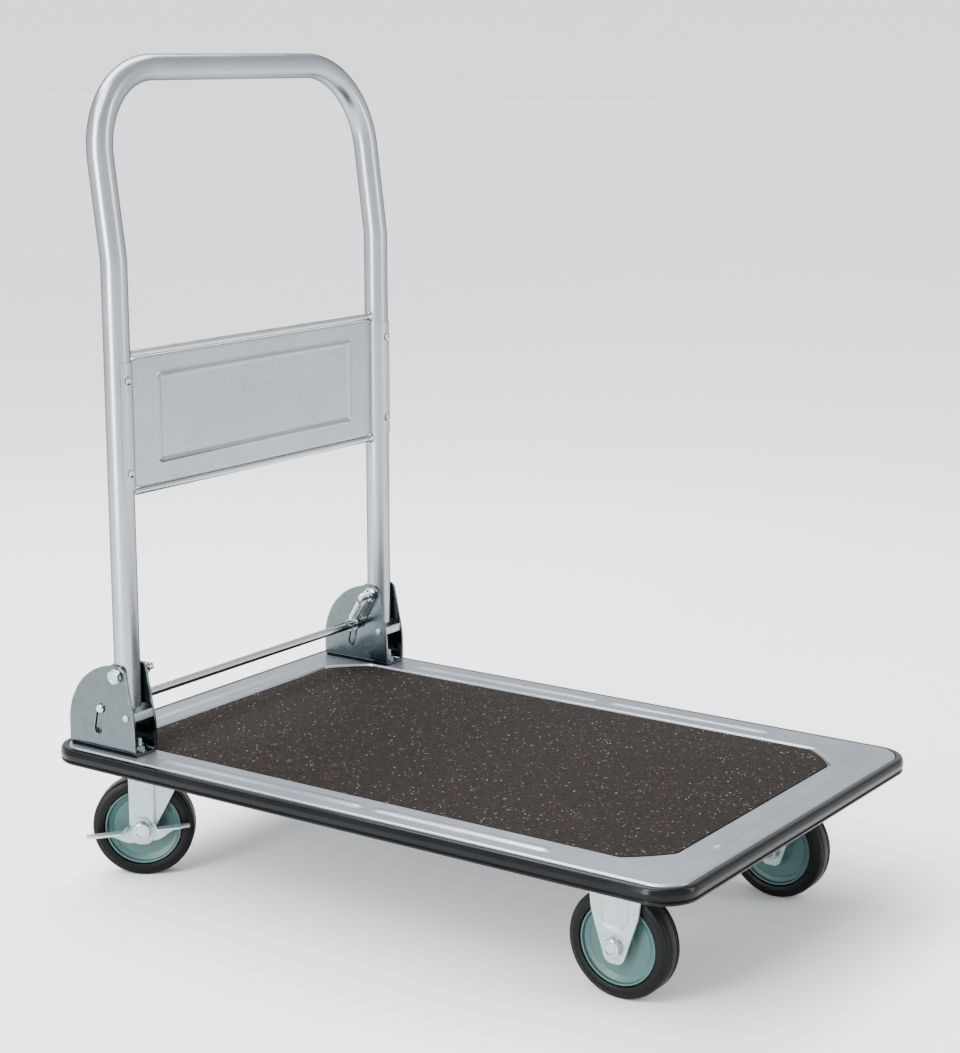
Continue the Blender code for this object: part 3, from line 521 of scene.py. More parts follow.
class CartFinishSettings(bpy.types.PropertyGroup):
    """Colours of the finishes."""

    deck_paint: FloatVectorProperty(
        name="Deck Paint", description="Silver-grey paint of the deck and the panel", subtype="COLOR",
        size=3,
        default=(0.34, 0.37, 0.41), min=0, max=1,
    )
    tube_paint: FloatVectorProperty(
        name="Tube Paint", description="Silver paint of the handle", subtype="COLOR", size=3,
        default=(0.33, 0.355, 0.39), min=0, max=1,
    )
    bracket_zinc: FloatVectorProperty(
        name="Bracket Zinc", description="Dull plating of the brackets", subtype="COLOR", size=3,
        default=(0.100, 0.122, 0.126), min=0, max=1,
    )
    bright_zinc: FloatVectorProperty(
        name="Bright Zinc", description="Plating of bolts, rods and springs", subtype="COLOR", size=3,
        default=(0.46, 0.50, 0.515), min=0, max=1,
    )
    castor_zinc: FloatVectorProperty(
        name="Castor Zinc", description="Plating of forks and plates", subtype="COLOR", size=3,
        default=(0.36, 0.42, 0.43), min=0, max=1,
    )
    vinyl: FloatVectorProperty(
        name="Vinyl", description="Black moulding round the deck", subtype="COLOR", size=3,
        default=(0.0035, 0.0042, 0.005), min=0, max=1,
    )
    rubber: FloatVectorProperty(
        name="Rubber", description="Tyres", subtype="COLOR", size=3, default=(0.0025, 0.0028, 0.0028),
        min=0, max=1,
    )
    hub_plastic: FloatVectorProperty(
        name="Hub Plastic", description="Grey-green wheel centres", subtype="COLOR", size=3,
        default=(0.030, 0.082, 0.080), min=0, max=1,
    )
    grit: FloatVectorProperty(
        name="Grit", description="Dark brown ground of the mat", subtype="COLOR", size=3,
        default=(0.0092, 0.0070, 0.0058), min=0, max=1,
    )


# ---------------------------------------------------------------- materials


class Graph:
    """A material's node tree, with short calls that add a node and join it up."""

    def __init__(self, name):
        self.material = bpy.data.materials.new(name)
        self.material.use_nodes = True
        self.tree = self.material.node_tree
        self.shader = self.tree.nodes["Principled BSDF"]
        self.place = self.add("ShaderNodeTexCoord").outputs["Object"]

    def add(self, kind, **values):
        node = self.tree.nodes.new(kind)
        for key, value in values.items():
            setattr(node, key, value)
        return node

    def join(self, source, target):
        self.tree.links.new(source, target)

    def noise(self, scale, detail=3.0, roughness=0.55, stretch=None):
        """Noise over the piece's own coordinates; stretch squeezes it along an axis to make streaks."""
        node = self.add("ShaderNodeTexNoise")
        node.inputs["Scale"].default_value = scale
        node.inputs["Detail"].default_value = detail
        node.inputs["Roughness"].default_value = roughness
        source = self.place
        if stretch:
            mapping = self.add("ShaderNodeMapping")
            mapping.inputs["Scale"].default_value = stretch
            self.join(source, mapping.inputs["Vector"])
            source = mapping.outputs["Vector"]
        self.join(source, node.inputs["Vector"])
        return node.outputs["Fac"]

    def cells(self, scale):
        node = self.add("ShaderNodeTexVoronoi")
        node.inputs["Scale"].default_value = scale
        self.join(self.place, node.inputs["Vector"])
        return node

    def ramp(self, source, *stops):
        """Colours or grey levels at shares of the source's range."""
        node = self.add("ShaderNodeValToRGB")
        elements = node.color_ramp.elements
        elements.remove(elements[1])
        for number, (share, colour) in enumerate(stops):
            element = elements.new(share) if number else elements[0]
            element.position = share
            element.color = (*colour, 1) if hasattr(colour, "__len__") else (colour, colour, colour, 1)
        self.join(source, node.inputs["Fac"])
        return node.outputs["Color"]

    def mix(self, share, first, second, blend="MIX"):
        """first where share is 0 and second where it is 1; each may be a link or a colour."""
        node = self.add("ShaderNodeMix", data_type="RGBA", blend_type=blend)
        for source, index in ((share, 0), (first, 6), (second, 7)):
            if hasattr(source, "is_linked"):
                self.join(source, node.inputs[index])
            else:
                node.inputs[index].default_value = (*source, 1) if index else source
        return node.outputs[2]

    def levels(self, source, low, high):
        """The source's 0.3 to 0.7 spread over low to high."""
        node = self.add("ShaderNodeMapRange")
        for name, value in (("From Min", 0.3), ("From Max", 0.7), ("To Min", low), ("To Max", high)):
            node.inputs[name].default_value = value
        self.join(source, node.inputs["Value"])
        return node.outputs["Result"]

    def bump(self, height, depth, strength=1.0, under=None):
        node = self.add("ShaderNodeBump")
        node.inputs["Strength"].default_value = strength
        node.inputs["Distance"].default_value = depth
        self.join(height, node.inputs["Height"])
        if under:
            self.join(under, node.inputs["Normal"])
        return node.outputs["Normal"]

    def worn_edges(self, low, high, patchiness):
        """1 on outward edges, broken up by noise, and 0 elsewhere."""
        edges = self.ramp(self.add("ShaderNodeNewGeometry").outputs["Pointiness"], (low, 0.0), (high, 1.0))
        broken = self.ramp(self.noise(patchiness, 5.0), (0.42, 0.0), (0.6, 1.0))
        return self.mix(1.0, edges, broken, "MULTIPLY")

    def finish(self, colour, roughness, normal, metallic, **sockets):
        self.join(colour, self.shader.inputs["Base Color"])
        self.join(roughness, self.shader.inputs["Roughness"])
        self.join(normal, self.shader.inputs["Normal"])
        self.shader.inputs["Metallic"].default_value = metallic
        for name, value in sockets.items():
            self.shader.inputs[name.replace("_", " ")].default_value = value
        return self.material


def shade(colour, factor):
    return tuple(min(1.0, channel * factor) for channel in colour)


def silver_paint(name, colour, metallic, roughness, peel, edge_tint):
    """Metallic paint: fine flake speckle, cloudy tone, orange peel, and dust in uneven roughness."""
    graph = Graph(name)
    clouds = graph.ramp(graph.noise(9, 4), (0.35, shade(colour, 0.93)), (0.68, shade(colour, 1.05)))
    flake = graph.ramp(graph.cells(2600).outputs["Color"], (0.25, 0.92), (0.8, 1.07))
    tone = graph.mix(0.55, clouds, graph.mix(1.0, clouds, flake, "MULTIPLY"))
    tone = graph.mix(graph.worn_edges(0.60, 0.75, 120), tone, shade(colour, 1.06))
    peel_bump = graph.bump(graph.noise(180, 1), peel)
    flake_bump = graph.bump(graph.noise(2200, 2), 0.015 * MM, 0.3, peel_bump)
    uneven = graph.levels(graph.noise(26, 5), roughness - 0.03, roughness + 0.05)
    return graph.finish(tone, uneven, flake_bump, metallic, Specular_Tint=(*edge_tint, 1))


def deck_paint():
    return silver_paint(
        "cart_deck_paint", settings("finish").deck_paint, 0.8, 0.27, 0.012 * MM, (0.40, 0.43, 0.47),
    )


def tube_paint():
    return silver_paint(
        "cart_tube_paint", settings("finish").tube_paint, 0.93, 0.26, 0.01 * MM, (0.12, 0.15, 0.18),
    )


def plated(name, colour, roughness, metallic, spangle, streak=None):
    """Zinc plating: faint crystal patches, rolling streaks, a bluish bloom and rubbed edges."""
    graph = Graph(name)
    patches = graph.ramp(
        graph.cells(spangle).outputs["Color"], (0.2, shade(colour, 0.93)), (0.85, shade(colour, 1.06)),
    )
    bloom = graph.ramp(graph.noise(18, 4), (0.4, 0.0), (0.75, 0.5))
    cool = (colour[0] * 0.86, colour[1] * 0.96, colour[2] * 1.04)
    tone = graph.mix(bloom, patches, cool)
    tone = graph.mix(graph.worn_edges(0.54, 0.64, 160), tone, shade(colour, 1.25))
    streaks = graph.noise(60, 3, stretch=streak or (1, 1, 1))
    uneven = graph.levels(streaks, roughness - 0.07, roughness + 0.1)
    grain = graph.bump(graph.noise(900, 3, stretch=streak or (1, 1, 1)), 0.012 * MM, 0.4)
    return graph.finish(tone, uneven, grain, metallic, Specular_Tint=(0.6, 0.62, 0.64, 1))


def bracket_zinc():
    return plated("cart_bracket_zinc", settings("finish").bracket_zinc, 0.2, 1.0, 210, (1, 1, 0.15))


def bright_zinc():
    return plated("cart_bright_zinc", settings("finish").bright_zinc, 0.15, 1.0, 420)


def castor_zinc():
    return plated("cart_castor_zinc", settings("finish").castor_zinc, 0.40, 0.55, 260, (1, 1, 0.2))


def bumper_vinyl():
    """Satin black vinyl: fine leather-like grain, faint bloom and scuffs along the outer roll."""
    graph = Graph("cart_bumper_vinyl")
    colour = settings("finish").vinyl
    tone = graph.ramp(graph.noise(14, 5), (0.4, shade(colour, 0.8)), (0.7, shade(colour, 1.35)))
    scuffs = graph.ramp(graph.noise(90, 5, stretch=(0.25, 0.25, 1.6)), (0.66, 0.0), (0.76, 1.0))
    tone = graph.mix(graph.mix(0.5, scuffs, (0, 0, 0)), tone, shade(colour, 3))
    uneven = graph.levels(graph.noise(40, 4), 0.12, 0.24)
    grain = graph.bump(graph.noise(1300, 2), 0.03 * MM, 0.3)
    return graph.finish(tone, uneven, grain, 0.0, Specular_IOR_Level=0.13)


def tyre_rubber():
    """Moulded rubber: dull black, dusty where it rolls, with faint ripples from the mould."""
    graph = Graph("cart_tyre_rubber")
    colour = settings("finish").rubber
    tone = graph.ramp(graph.noise(22, 5), (0.4, shade(colour, 0.8)), (0.72, shade(colour, 1.7)))
    dust = graph.ramp(graph.noise(260, 5), (0.6, 0.0), (0.8, 0.5))
    tone = graph.mix(dust, tone, shade(colour, 3))
    uneven = graph.levels(graph.noise(55, 4), 0.3, 0.45)
    grain = graph.bump(graph.noise(1100, 3), 0.04 * MM, 0.5)
    return graph.finish(tone, uneven, grain, 0.0, Specular_IOR_Level=0.13)


def hub_plastic():
    """Moulded nylon: slightly mottled grey-green with a fine spark-eroded texture."""
    graph = Graph("cart_hub_plastic")
    colour = settings("finish").hub_plastic
    tone = graph.ramp(graph.noise(35, 5), (0.35, shade(colour, 0.92)), (0.7, shade(colour, 1.08)))
    tone = graph.mix(graph.worn_edges(0.53, 0.62, 140), tone, shade(colour, 1.5))
    uneven = graph.levels(graph.noise(80, 3), 0.38, 0.54)
    grain = graph.bump(graph.noise(1500, 2), 0.04 * MM, 0.5)
    return graph.finish(tone, uneven, grain, 0.0)


def grit_mat():
    """Grit bound on a dark sheet: each cell is a grain with its own tone, and a few are pale or rosy."""
    graph = Graph("cart_grit_mat")
    colour = settings("finish").grit
    ground = graph.ramp(graph.noise(120, 6, 0.7), (0.35, shade(colour, 0.62)), (0.7, shade(colour, 1.5)))
    grains = graph.cells(750)
    split = graph.add("ShaderNodeSeparateColor")
    graph.join(grains.outputs["Color"], split.inputs["Color"])
    toned = graph.ramp(
        split.outputs["Red"],
        (0.0, shade(colour, 0.6)), (0.5, shade(colour, 1.0)), (0.93, shade(colour, 1.7)),
        (0.975, shade(colour, 2.4)), (0.988, (0.07, 0.056, 0.043)), (1.0, (0.36, 0.32, 0.29)),
    )
    tone = graph.mix(0.62, ground, toned)
    rosy = graph.ramp(split.outputs["Green"], (0.988, 0.0), (0.992, 0.6))
    tone = graph.mix(rosy, tone, (0.12, 0.055, 0.04))
    uneven = graph.levels(graph.noise(300, 4), 0.78, 0.95)
    lumps = graph.bump(grains.outputs["Distance"], 0.5 * MM, 0.8)
    rough = graph.bump(graph.noise(420, 5, 0.7), 0.6 * MM, 0.8, lumps)
    return graph.finish(tone, uneven, rough, 0.0, Specular_IOR_Level=0.12)


FINISHES = {
    "deck_paint": deck_paint,
    "tube_paint": tube_paint,
    "bracket_zinc": bracket_zinc,
    "bright_zinc": bright_zinc,
    "castor_zinc": castor_zinc,
    "bumper_vinyl": bumper_vinyl,
    "tyre_rubber": tyre_rubber,
    "hub_plastic": hub_plastic,
    "grit_mat": grit_mat,
}


def material_of(slot):
    return bpy.data.materials.get("cart_" + slot) or FINISHES[slot]()


def settings(group):
    return getattr(bpy.context.scene, "cart_" + group)


def finish(piece, slot, *nodes, body=None):
    """Gives a piece its material, and lets it ride with and stand for its nodes."""
    piece.data.materials.clear()
    piece.data.materials.append(material_of(slot))
    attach(piece, body or body_of(nodes[0]))
    if nodes:
        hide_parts(*nodes)
    return piece


# ---------------------------------------------------------------- fasteners

HEX_SIDES = 6
HEX_STEPS = 72
HEX_CHAMFER = math.tan(math.radians(30))
THREAD_PITCH = 1.25 * MM
WASHER = 1.3 * MM  # thickness of the washer under a head or a nut
PLAY = 0.3 * MM  # gap all round a bolt in its hole


def hexagon_radius(across_flats):
    """Radius of a hexagon at each angle: half its width over the cosine of the angle from the middle of
    the nearest flat."""
    angle = np.linspace(0, math.tau, HEX_STEPS, endpoint=False)
    sector = math.tau / HEX_SIDES
    return across_flats / 2 / np.cos((angle + sector / 2) % sector - sector / 2)


def hex_rows(across_flats, low, high):
    """Rows up a hexagon's side and over its chamfered corners: the height falls by the tangent of
    30 degrees for each step past the inner circle."""
    radius = hexagon_radius(across_flats)
    inner = across_flats / 2 * 0.95
    crown = high - (radius - inner) * HEX_CHAMFER
    foot = low + (radius - inner) * HEX_CHAMFER * 0.6
    flat = np.full(HEX_STEPS, inner)
    rows = [(flat, low), (radius, foot), (radius, crown), (flat, high)]
    return [(r, np.broadcast_to(h, HEX_STEPS)) for r, h in rows]


def even_row(radius, height):
    return np.full(HEX_STEPS, radius), np.full(HEX_STEPS, height)


def thread_rows(radius, top, bottom):
    """A screw thread: the radius falls by the thread's depth times half of one plus the cosine of
    the height's turns less the angle."""
    depth = THREAD_PITCH * 0.5
    count = max(2, int(abs(top - bottom) / THREAD_PITCH * 6))
    angle = np.linspace(0, math.tau, HEX_STEPS, endpoint=False)
    rows = []
    for height in np.linspace(top, bottom, count):
        wave = (1 + np.cos(math.tau * height / THREAD_PITCH - angle)) / 2
        rows.append((radius - depth * wave, np.full(HEX_STEPS, height)))
    return rows


def revolve_rows(name, rows, origin, axis, loop=False):
    radii, heights = (np.stack([row[i] for row in rows]) for i in (0, 1))
    axis = unit(np.array(axis, float))
    return baked(surface(name, spun(radii, heights, np.array(origin, float), axis), (loop, True)), 28)


def hex_bolt(name, origin, axis, radius, across_flats, height, length, threaded):
    """A bolt with its dished head above the origin along the axis, a washer face under it, and its thread
    at the end."""
    chamfer = 0.8 * MM
    dish, sink = across_flats * 0.36, 0.7 * MM
    rows = [even_row(0, height - sink), even_row(dish - 0.6 * MM, height - sink), even_row(dish, height)]
    rows += hex_rows(across_flats, WASHER, height)[::-1]
    collar = across_flats * 0.56
    rows += [even_row(collar, WASHER), even_row(collar, 0.1 * MM), even_row(radius, 0)]
    rows += [even_row(radius, threaded - length)]
    rows += thread_rows(radius, threaded - length, chamfer - length)
    rows += [even_row(radius - 1.5 * chamfer, -length), even_row(0, -length)]
    return revolve_rows(name, rows, origin, axis)


def hex_nut(name, origin, axis, radius, across_flats, height):
    """A nut standing on the origin along the axis, over a washer, with a countersunk thread."""
    bore, sink = radius + 0.15 * MM, 0.7 * MM
    rim = across_flats * 0.6
    rows = [even_row(bore, 0), even_row(rim, 0), even_row(rim, WASHER)]
    rows += hex_rows(across_flats, WASHER, height)
    rows += [even_row(bore + sink, height), even_row(bore, height - sink)]
    return revolve_rows(name, rows, origin, axis, loop=True)


def domed_head(name, origin, axis, radius, height):
    """A rivet or pan head: a dome over a short upright rim, shut underneath."""
    shoulder, rim = (radius * 0.55, height * 0.98, 0.6 * MM), (radius, height * 0.45, 0.7 * MM)
    profile = eased([(0, height, 0), shoulder, rim, (radius, 0, 0), (0, 0, 0)])
    return turned(name, profile, origin, axis, 48)


M8 = (4 * MM, 13 * MM, 5.5 * MM)  # radius, width across flats and height of the head or the nut
M10 = (5 * MM, 16 * MM, 6.4 * MM)
KING_RADIUS = 6 * MM
KING_BORE = KING_RADIUS + PLAY


# ---------------------------------------------------------------- operators: stage and deck


class CART_OT_stage(bpy.types.Operator):
    """Add the floor, the sky, the soft lights and the camera"""

    bl_idname = "cart.stage"
    bl_label = "Studio"

    def execute(self, context):
        stage = settings("stage")
        for light in [obj for obj in context.scene.objects if obj.type in ("LIGHT", "CAMERA")]:
            bpy.data.objects.remove(light, do_unlink=True)
        reach = 30.0
        low = CAD_BOX[0][2]
        across = reach * np.linspace(-1, 1, 25) ** 3
        grid = np.stack(np.meshgrid(across, across, indexing="ij"), axis=-1)
        points = np.concatenate([grid, np.full((*grid.shape[:2], 1), low)], axis=-1)
        floor = surface("studio_floor", points[:, ::-1], shut=False)
        ground = Graph("studio_floor")
        colour = tuple(stage.floor_colour)
        tone = ground.ramp(ground.noise(0.7, 2), (0.4, shade(colour, 0.99)), (0.6, colour))
        rough = ground.levels(ground.noise(1.5, 2), 0.85, 0.95)
        grain = ground.bump(ground.noise(60, 2), 0.02 * MM, 0.2)
        floor.data.materials.append(ground.finish(tone, rough, grain, 0.0, Specular_IOR_Level=0.1))
        self.sky(context, stage)
        middle = Vector((-0.1, 0, 0.4))

        def place(turn, distance, height):
            """A place round the cart, turned from the camera's azimuth; positive turns to its right."""
            angle = stage.azimuth + math.radians(turn)
            across, along = math.sin(angle) * distance, -math.cos(angle) * distance
            return middle + Vector((across, along, height - middle.z))

        chest = middle + Vector((0, 0, 0.3))
        self.lamp("left_box", place(-40, 2.4, 1.2), chest, (0.8, 2.4), stage.key_power)
        self.lamp("right_box", place(75, 2.6, 1.3), chest, (0.6, 2.2), stage.fill_power)
        self.lamp("top_box", place(-150, 1.1, 2.3), middle, (2.2, 1.2), stage.top_power)
        sun = bpy.data.lights.new("soft_sun", "SUN")
        sun.energy, sun.angle = stage.sun_power, math.radians(45)
        made = bpy.data.objects.new("soft_sun", sun)
        made.rotation_euler = (middle - place(-50, 2.0, 3.6)).to_track_quat("-Z", "Y").to_euler()
        context.scene.collection.objects.link(made)
        self.camera(context, stage)
        return {"FINISHED"}

    def sky(self, context, stage):
        """An even sky, brightest at the horizon: the strength falls with the height of the direction."""
        world = bpy.data.worlds.new("studio_sky")
        world.use_nodes = True
        nodes, links = world.node_tree.nodes, world.node_tree.links
        split = nodes.new("ShaderNodeSeparateXYZ")
        links.new(nodes.new("ShaderNodeTexCoord").outputs["Generated"], split.inputs["Vector"])
        fade = nodes.new("ShaderNodeMapRange")
        fade.inputs["From Max"].default_value = 0.7
        fade.inputs["To Min"].default_value = stage.horizon
        fade.inputs["To Max"].default_value = stage.sky
        links.new(split.outputs["Z"], fade.inputs["Value"])
        links.new(fade.outputs["Result"], nodes["Background"].inputs["Strength"])
        nodes["Background"].inputs["Color"].default_value = (0.98, 0.99, 1.0, 1)
        context.scene.world = world

    def lamp(self, name, place, target, size, power):
        lamp = bpy.data.lights.new(name, "AREA")
        lamp.shape = "RECTANGLE"
        lamp.size, lamp.size_y = size
        lamp.energy = power
        made = bpy.data.objects.new(name, lamp)
        made.location = place
        made.rotation_euler = (target - place).to_track_quat("-Z", "Y").to_euler()
        made.visible_camera = False
        bpy.context.scene.collection.objects.link(made)

    def camera(self, context, stage):
        data = bpy.data.cameras.new("view_camera")
        data.lens = stage.lens
        data.sensor_width = 36.0
        made = bpy.data.objects.new("view_camera", data)
        made.location = stage.camera_place
        made.rotation_euler = Euler((math.pi / 2 - stage.elevation, 0, stage.azimuth))
        context.scene.collection.objects.link(made)
        context.scene.camera = made


def rim_beads(x, y):
    """Height of the pressed beads: the bead's height, fading smoothly with the distance from the nearest
    of the beads' centre lines to nothing at half the bead's width."""
    deck = settings("deck")
    low, high = corners_of("deck_plate")
    mat_low, _ = corners_of("deck_mat")
    length, width = (high - low)[:2]
    side_y = (abs(low[1]) + abs(mat_low[1])) / 2 + 1 * MM
    end_x = (abs(low[0]) + abs(mat_low[0])) / 2 + 1 * MM
    behind_bracket, gap_low, gap_high = -0.32 * length, 0.011 * length, 0.045 * length
    front_half, rear_half = 0.25 * width, 0.28 * width
    lines = [((end_x, -front_half), (end_x, front_half)), ((-end_x, -rear_half), (-end_x, rear_half))]
    for side in (-1, 1):
        lines.append(((behind_bracket, side * side_y), (gap_low, side * side_y)))
        lines.append(((gap_high, side * side_y), (0.30 * length, side * side_y)))
    raised = np.zeros_like(x)
    for (x0, y0), (x1, y1) in lines:
        dx, dy = x1 - x0, y1 - y0
        share = np.clip(((x - x0) * dx + (y - y0) * dy) / (dx * dx + dy * dy), 0, 1)
        distance = np.hypot(x - x0 - share * dx, y - y0 - share * dy)
        raised = np.maximum(raised, deck.bead_height * smooth(1 - distance / (deck.bead_width / 2)))
    return raised


class CART_OT_deck(bpy.types.Operator):
    """Add the pressed deck: skirt, rounded edge, beaded rim and sunk bed"""

    bl_idname = "cart.deck"
    bl_label = "Pressed Deck"

    def execute(self, context):
        deck = settings("deck")
        low, high = corners_of("deck_plate")
        mat_low, mat_high = corners_of("deck_mat")
        length, width = (high - low)[:2]
        bed_length, bed_width = (mat_high - mat_low)[:2] + 2 * deck.mat_gap
        top = high[2]

        def rim(inset):
            return ring(length - 2 * inset, width - 2 * inset, deck.corner - inset)

        def bed(grow):
            return ring(bed_length + 2 * grow, bed_width + 2 * grow, deck.recess_reach, 0.16)

        rows = [at_height(rim(0), z) for z in np.linspace(low[2], top - deck.edge, 5)[:-1]]
        for angle in np.linspace(0, math.pi / 2, 7):
            inset, drop = deck.edge * (1 - math.cos(angle)), deck.edge * (1 - math.sin(angle))
            rows.append(at_height(rim(inset), top - drop))
        outer, inner = rim(deck.edge), bed(deck.recess_slope)
        for share in np.linspace(0, 1, 49)[1:]:
            line = outer * (1 - share) + inner * share
            rows.append(at_height(line, top + rim_beads(line[:, 0], line[:, 1])))
        for share in np.linspace(0, 1, 8)[1:]:
            fall = deck.recess_depth * smooth(share)
            rows.append(at_height(bed(deck.recess_slope * (1 - share)), top - fall))
        floor = bed(0)
        rows += [at_height(floor * share, top - deck.recess_depth) for share in (0.97, 0.9, 0.7, 0.4, 0.0)]
        piece = surface("pressed_deck", np.stack(rows)[:, ::-1], (False, True), shut=False)
        walled(piece, deck.steel, offset=-1, edge=0)
        finish(piece, "deck_paint", "deck_plate")
        return {"FINISHED"}


class CART_OT_mat(bpy.types.Operator):
    """Add the grit mat that lies in the deck's bed"""

    bl_idname = "cart.mat"
    bl_label = "Grit Mat"

    def execute(self, context):
        deck = settings("deck")
        low, high = corners_of("deck_mat")
        length, width = (high - low)[:2]
        outline = ring(length, width, deck.recess_reach, 0.16)
        piece = slab("grit_mat_sheet", outline, low[2], high[2], 0.7 * MM, rows=3)
        finish(baked(piece), "grit_mat", "deck_mat")
        return {"FINISHED"}


class CART_OT_bumper(bpy.types.Operator):
    """Add the vinyl moulding round the deck's skirt: a full roll above a groove and a thinner lip"""

    bl_idname = "cart.bumper"
    bl_label = "Vinyl Bumper"

    def execute(self, context):
        deck = settings("deck")
        low, high = corners_of("edge_bumper")
        deck_low, deck_high = corners_of("deck_plate")
        lip = high[0] - deck_high[0]
        gap = 0.3 * MM
        height = high[2] - low[2]
        section = eased([
            (gap, height, 0.3 * MM),
            (lip * 0.80, height, 3.2 * MM),
            (lip, height * 0.62, 4 * MM),
            (lip * 0.93, height * 0.33, 1.2 * MM),
            (lip * 0.74, height * 0.27, 0.5 * MM),
            (lip * 0.74, height * 0.22, 0.5 * MM),
            (lip * 0.93, height * 0.17, 0.9 * MM),
            (lip * 0.88, 0, 1.4 * MM),
            (gap, 0, 0.4 * MM),
        ], closed=True)
        length, width = (deck_high - deck_low)[:2]

        def outline(grow):
            return ring(length + 2 * grow, width + 2 * grow, deck.corner + grow, sides=(60, 40))

        rows = [at_height(outline(grow), low[2] + rise) for grow, rise in section]
        piece = baked(surface("vinyl_bumper", np.stack(rows), (True, True)), 50)
        finish(piece, "bumper_vinyl", "edge_bumper")
        return {"FINISHED"}


class CART_OT_channels(bpy.types.Operator):
    """Add the two hat channels under the deck that carry the castors"""

    bl_idname = "cart.channels"
    bl_label = "Cross Channels"

    def execute(self, context):
        steel = settings("deck").channel_steel
        crown, lean, bend = 51 * MM, 4 * MM, 3 * MM
        for end in ("rear", "front"):
            low, high = corners_of(end + "_channel")
            middle, half = (low[0] + high[0]) / 2, (high[0] - low[0]) / 2
            upper, lower = high[2] - steel / 2, low[2] + steel / 2
            right_half = [(crown, lower, bend), (crown + lean, upper, bend), (half, upper, 0)]
            left_half = [(-x, z, radius) for x, z, radius in reversed(right_half)]
            section = eased(left_half + right_half)
            across = np.linspace(low[1], high[1], 24)
            x, z = middle + section[:, 0], section[:, 1]
            grid = np.stack([np.column_stack([x, np.full(len(section), y), z]) for y in across])
            piece = walled(surface("hat_channel_" + end, grid, shut=False), steel)
            finish(piece, "deck_paint", end + "_channel")
        return {"FINISHED"}


# ---------------------------------------------------------------- operators: handle


def hoop_path():
    """The handle's centre line, from one leg's foot to the other: up the legs, back at the bend, and
    over the grip's two corners, with every straight run cut into short steps."""
    handle = settings("handle")
    low, high = corners_of("handle_tube")
    radius = (centre_of("panel_screw_upper_left")[1] - low[1])
    left, right = pivot_point(-1), pivot_point(1)
    top = high[2] - radius
    rise = top - left[2] - handle.bend_height
    back = -rise * math.tan(handle.lean)
    bend_z = left[2] + handle.bend_height
    corners = [
        (left[0], left[1], low[2], 0), (left[0], left[1], bend_z, handle.bend_radius),
        (left[0] + back, left[1], top, handle.grip_corner),
        (right[0] + back, right[1], top, handle.grip_corner),
        (right[0], right[1], bend_z, handle.bend_radius), (right[0], right[1], low[2], 0),
    ]
    rough = eased(corners, steps=24)
    length = np.concatenate([[0], np.cumsum(np.linalg.norm(np.diff(rough, axis=0), axis=1))])
    steady = np.linspace(0, length[-1], 360)
    return np.column_stack([np.interp(steady, length, rough[:, i]) for i in range(3)]), radius


class CART_OT_hoop(bpy.types.Operator):
    """Add the bent handle tube, open at both feet and drilled for the pivot bolts"""

    bl_idname = "cart.hoop"
    bl_label = "Handle Hoop"

    def execute(self, context):
        path, radius = hoop_path()
        wall = 1.5 * MM
        last = len(path) - 1
        inside = 12  # stations that the open foot runs up inside
        bore = (radius - wall) / radius
        first_foot, other_foot = [*range(inside, -1, -1)], [*range(last, last - inside - 1, -1)]
        stations = [inside, *first_foot, *range(last + 1), *other_foot, last - inside]
        scale = [0.0, *[bore] * (inside + 1), *[1.0] * (last + 1), *[bore] * (inside + 1), 0.0]
        ahead = np.array([1.0, 0, 0])
        piece = carried("handle_hoop", circle(radius, 56), path, ahead, stations, scale)
        drill = circle(M8[0] + PLAY, 32)
        softened(piece, 0, [prism(drill, 2 * radius, UPRIGHT, pivot_point(side)) for _, side in SIDES])
        finish(piece, "tube_paint", "handle_tube")
        return {"FINISHED"}


def panel_section(handle, radius, leg_y, count):
    """The panel from above: a flat web ahead of the legs' centres, and ends that follow a circle round
    the front of each leg. Returns points along it, steadily spaced, from the left end to the right."""
    wrap = radius + 0.3 * MM + handle.panel_steel / 2
    start = math.asin(handle.panel_forward / wrap)
    angle = np.linspace(start, handle.panel_wrap, 40)
    curl = np.column_stack([wrap * np.sin(angle), leg_y - wrap * np.cos(angle)])
    mirrored = curl[::-1] * np.array([1, -1])
    rough = np.concatenate([mirrored, curl])
    length = np.concatenate([[0], np.cumsum(np.linalg.norm(np.diff(rough, axis=0), axis=1))])
    steady = np.linspace(0, length[-1], count)
    return np.column_stack([np.interp(steady, length, rough[:, i]) for i in range(2)])


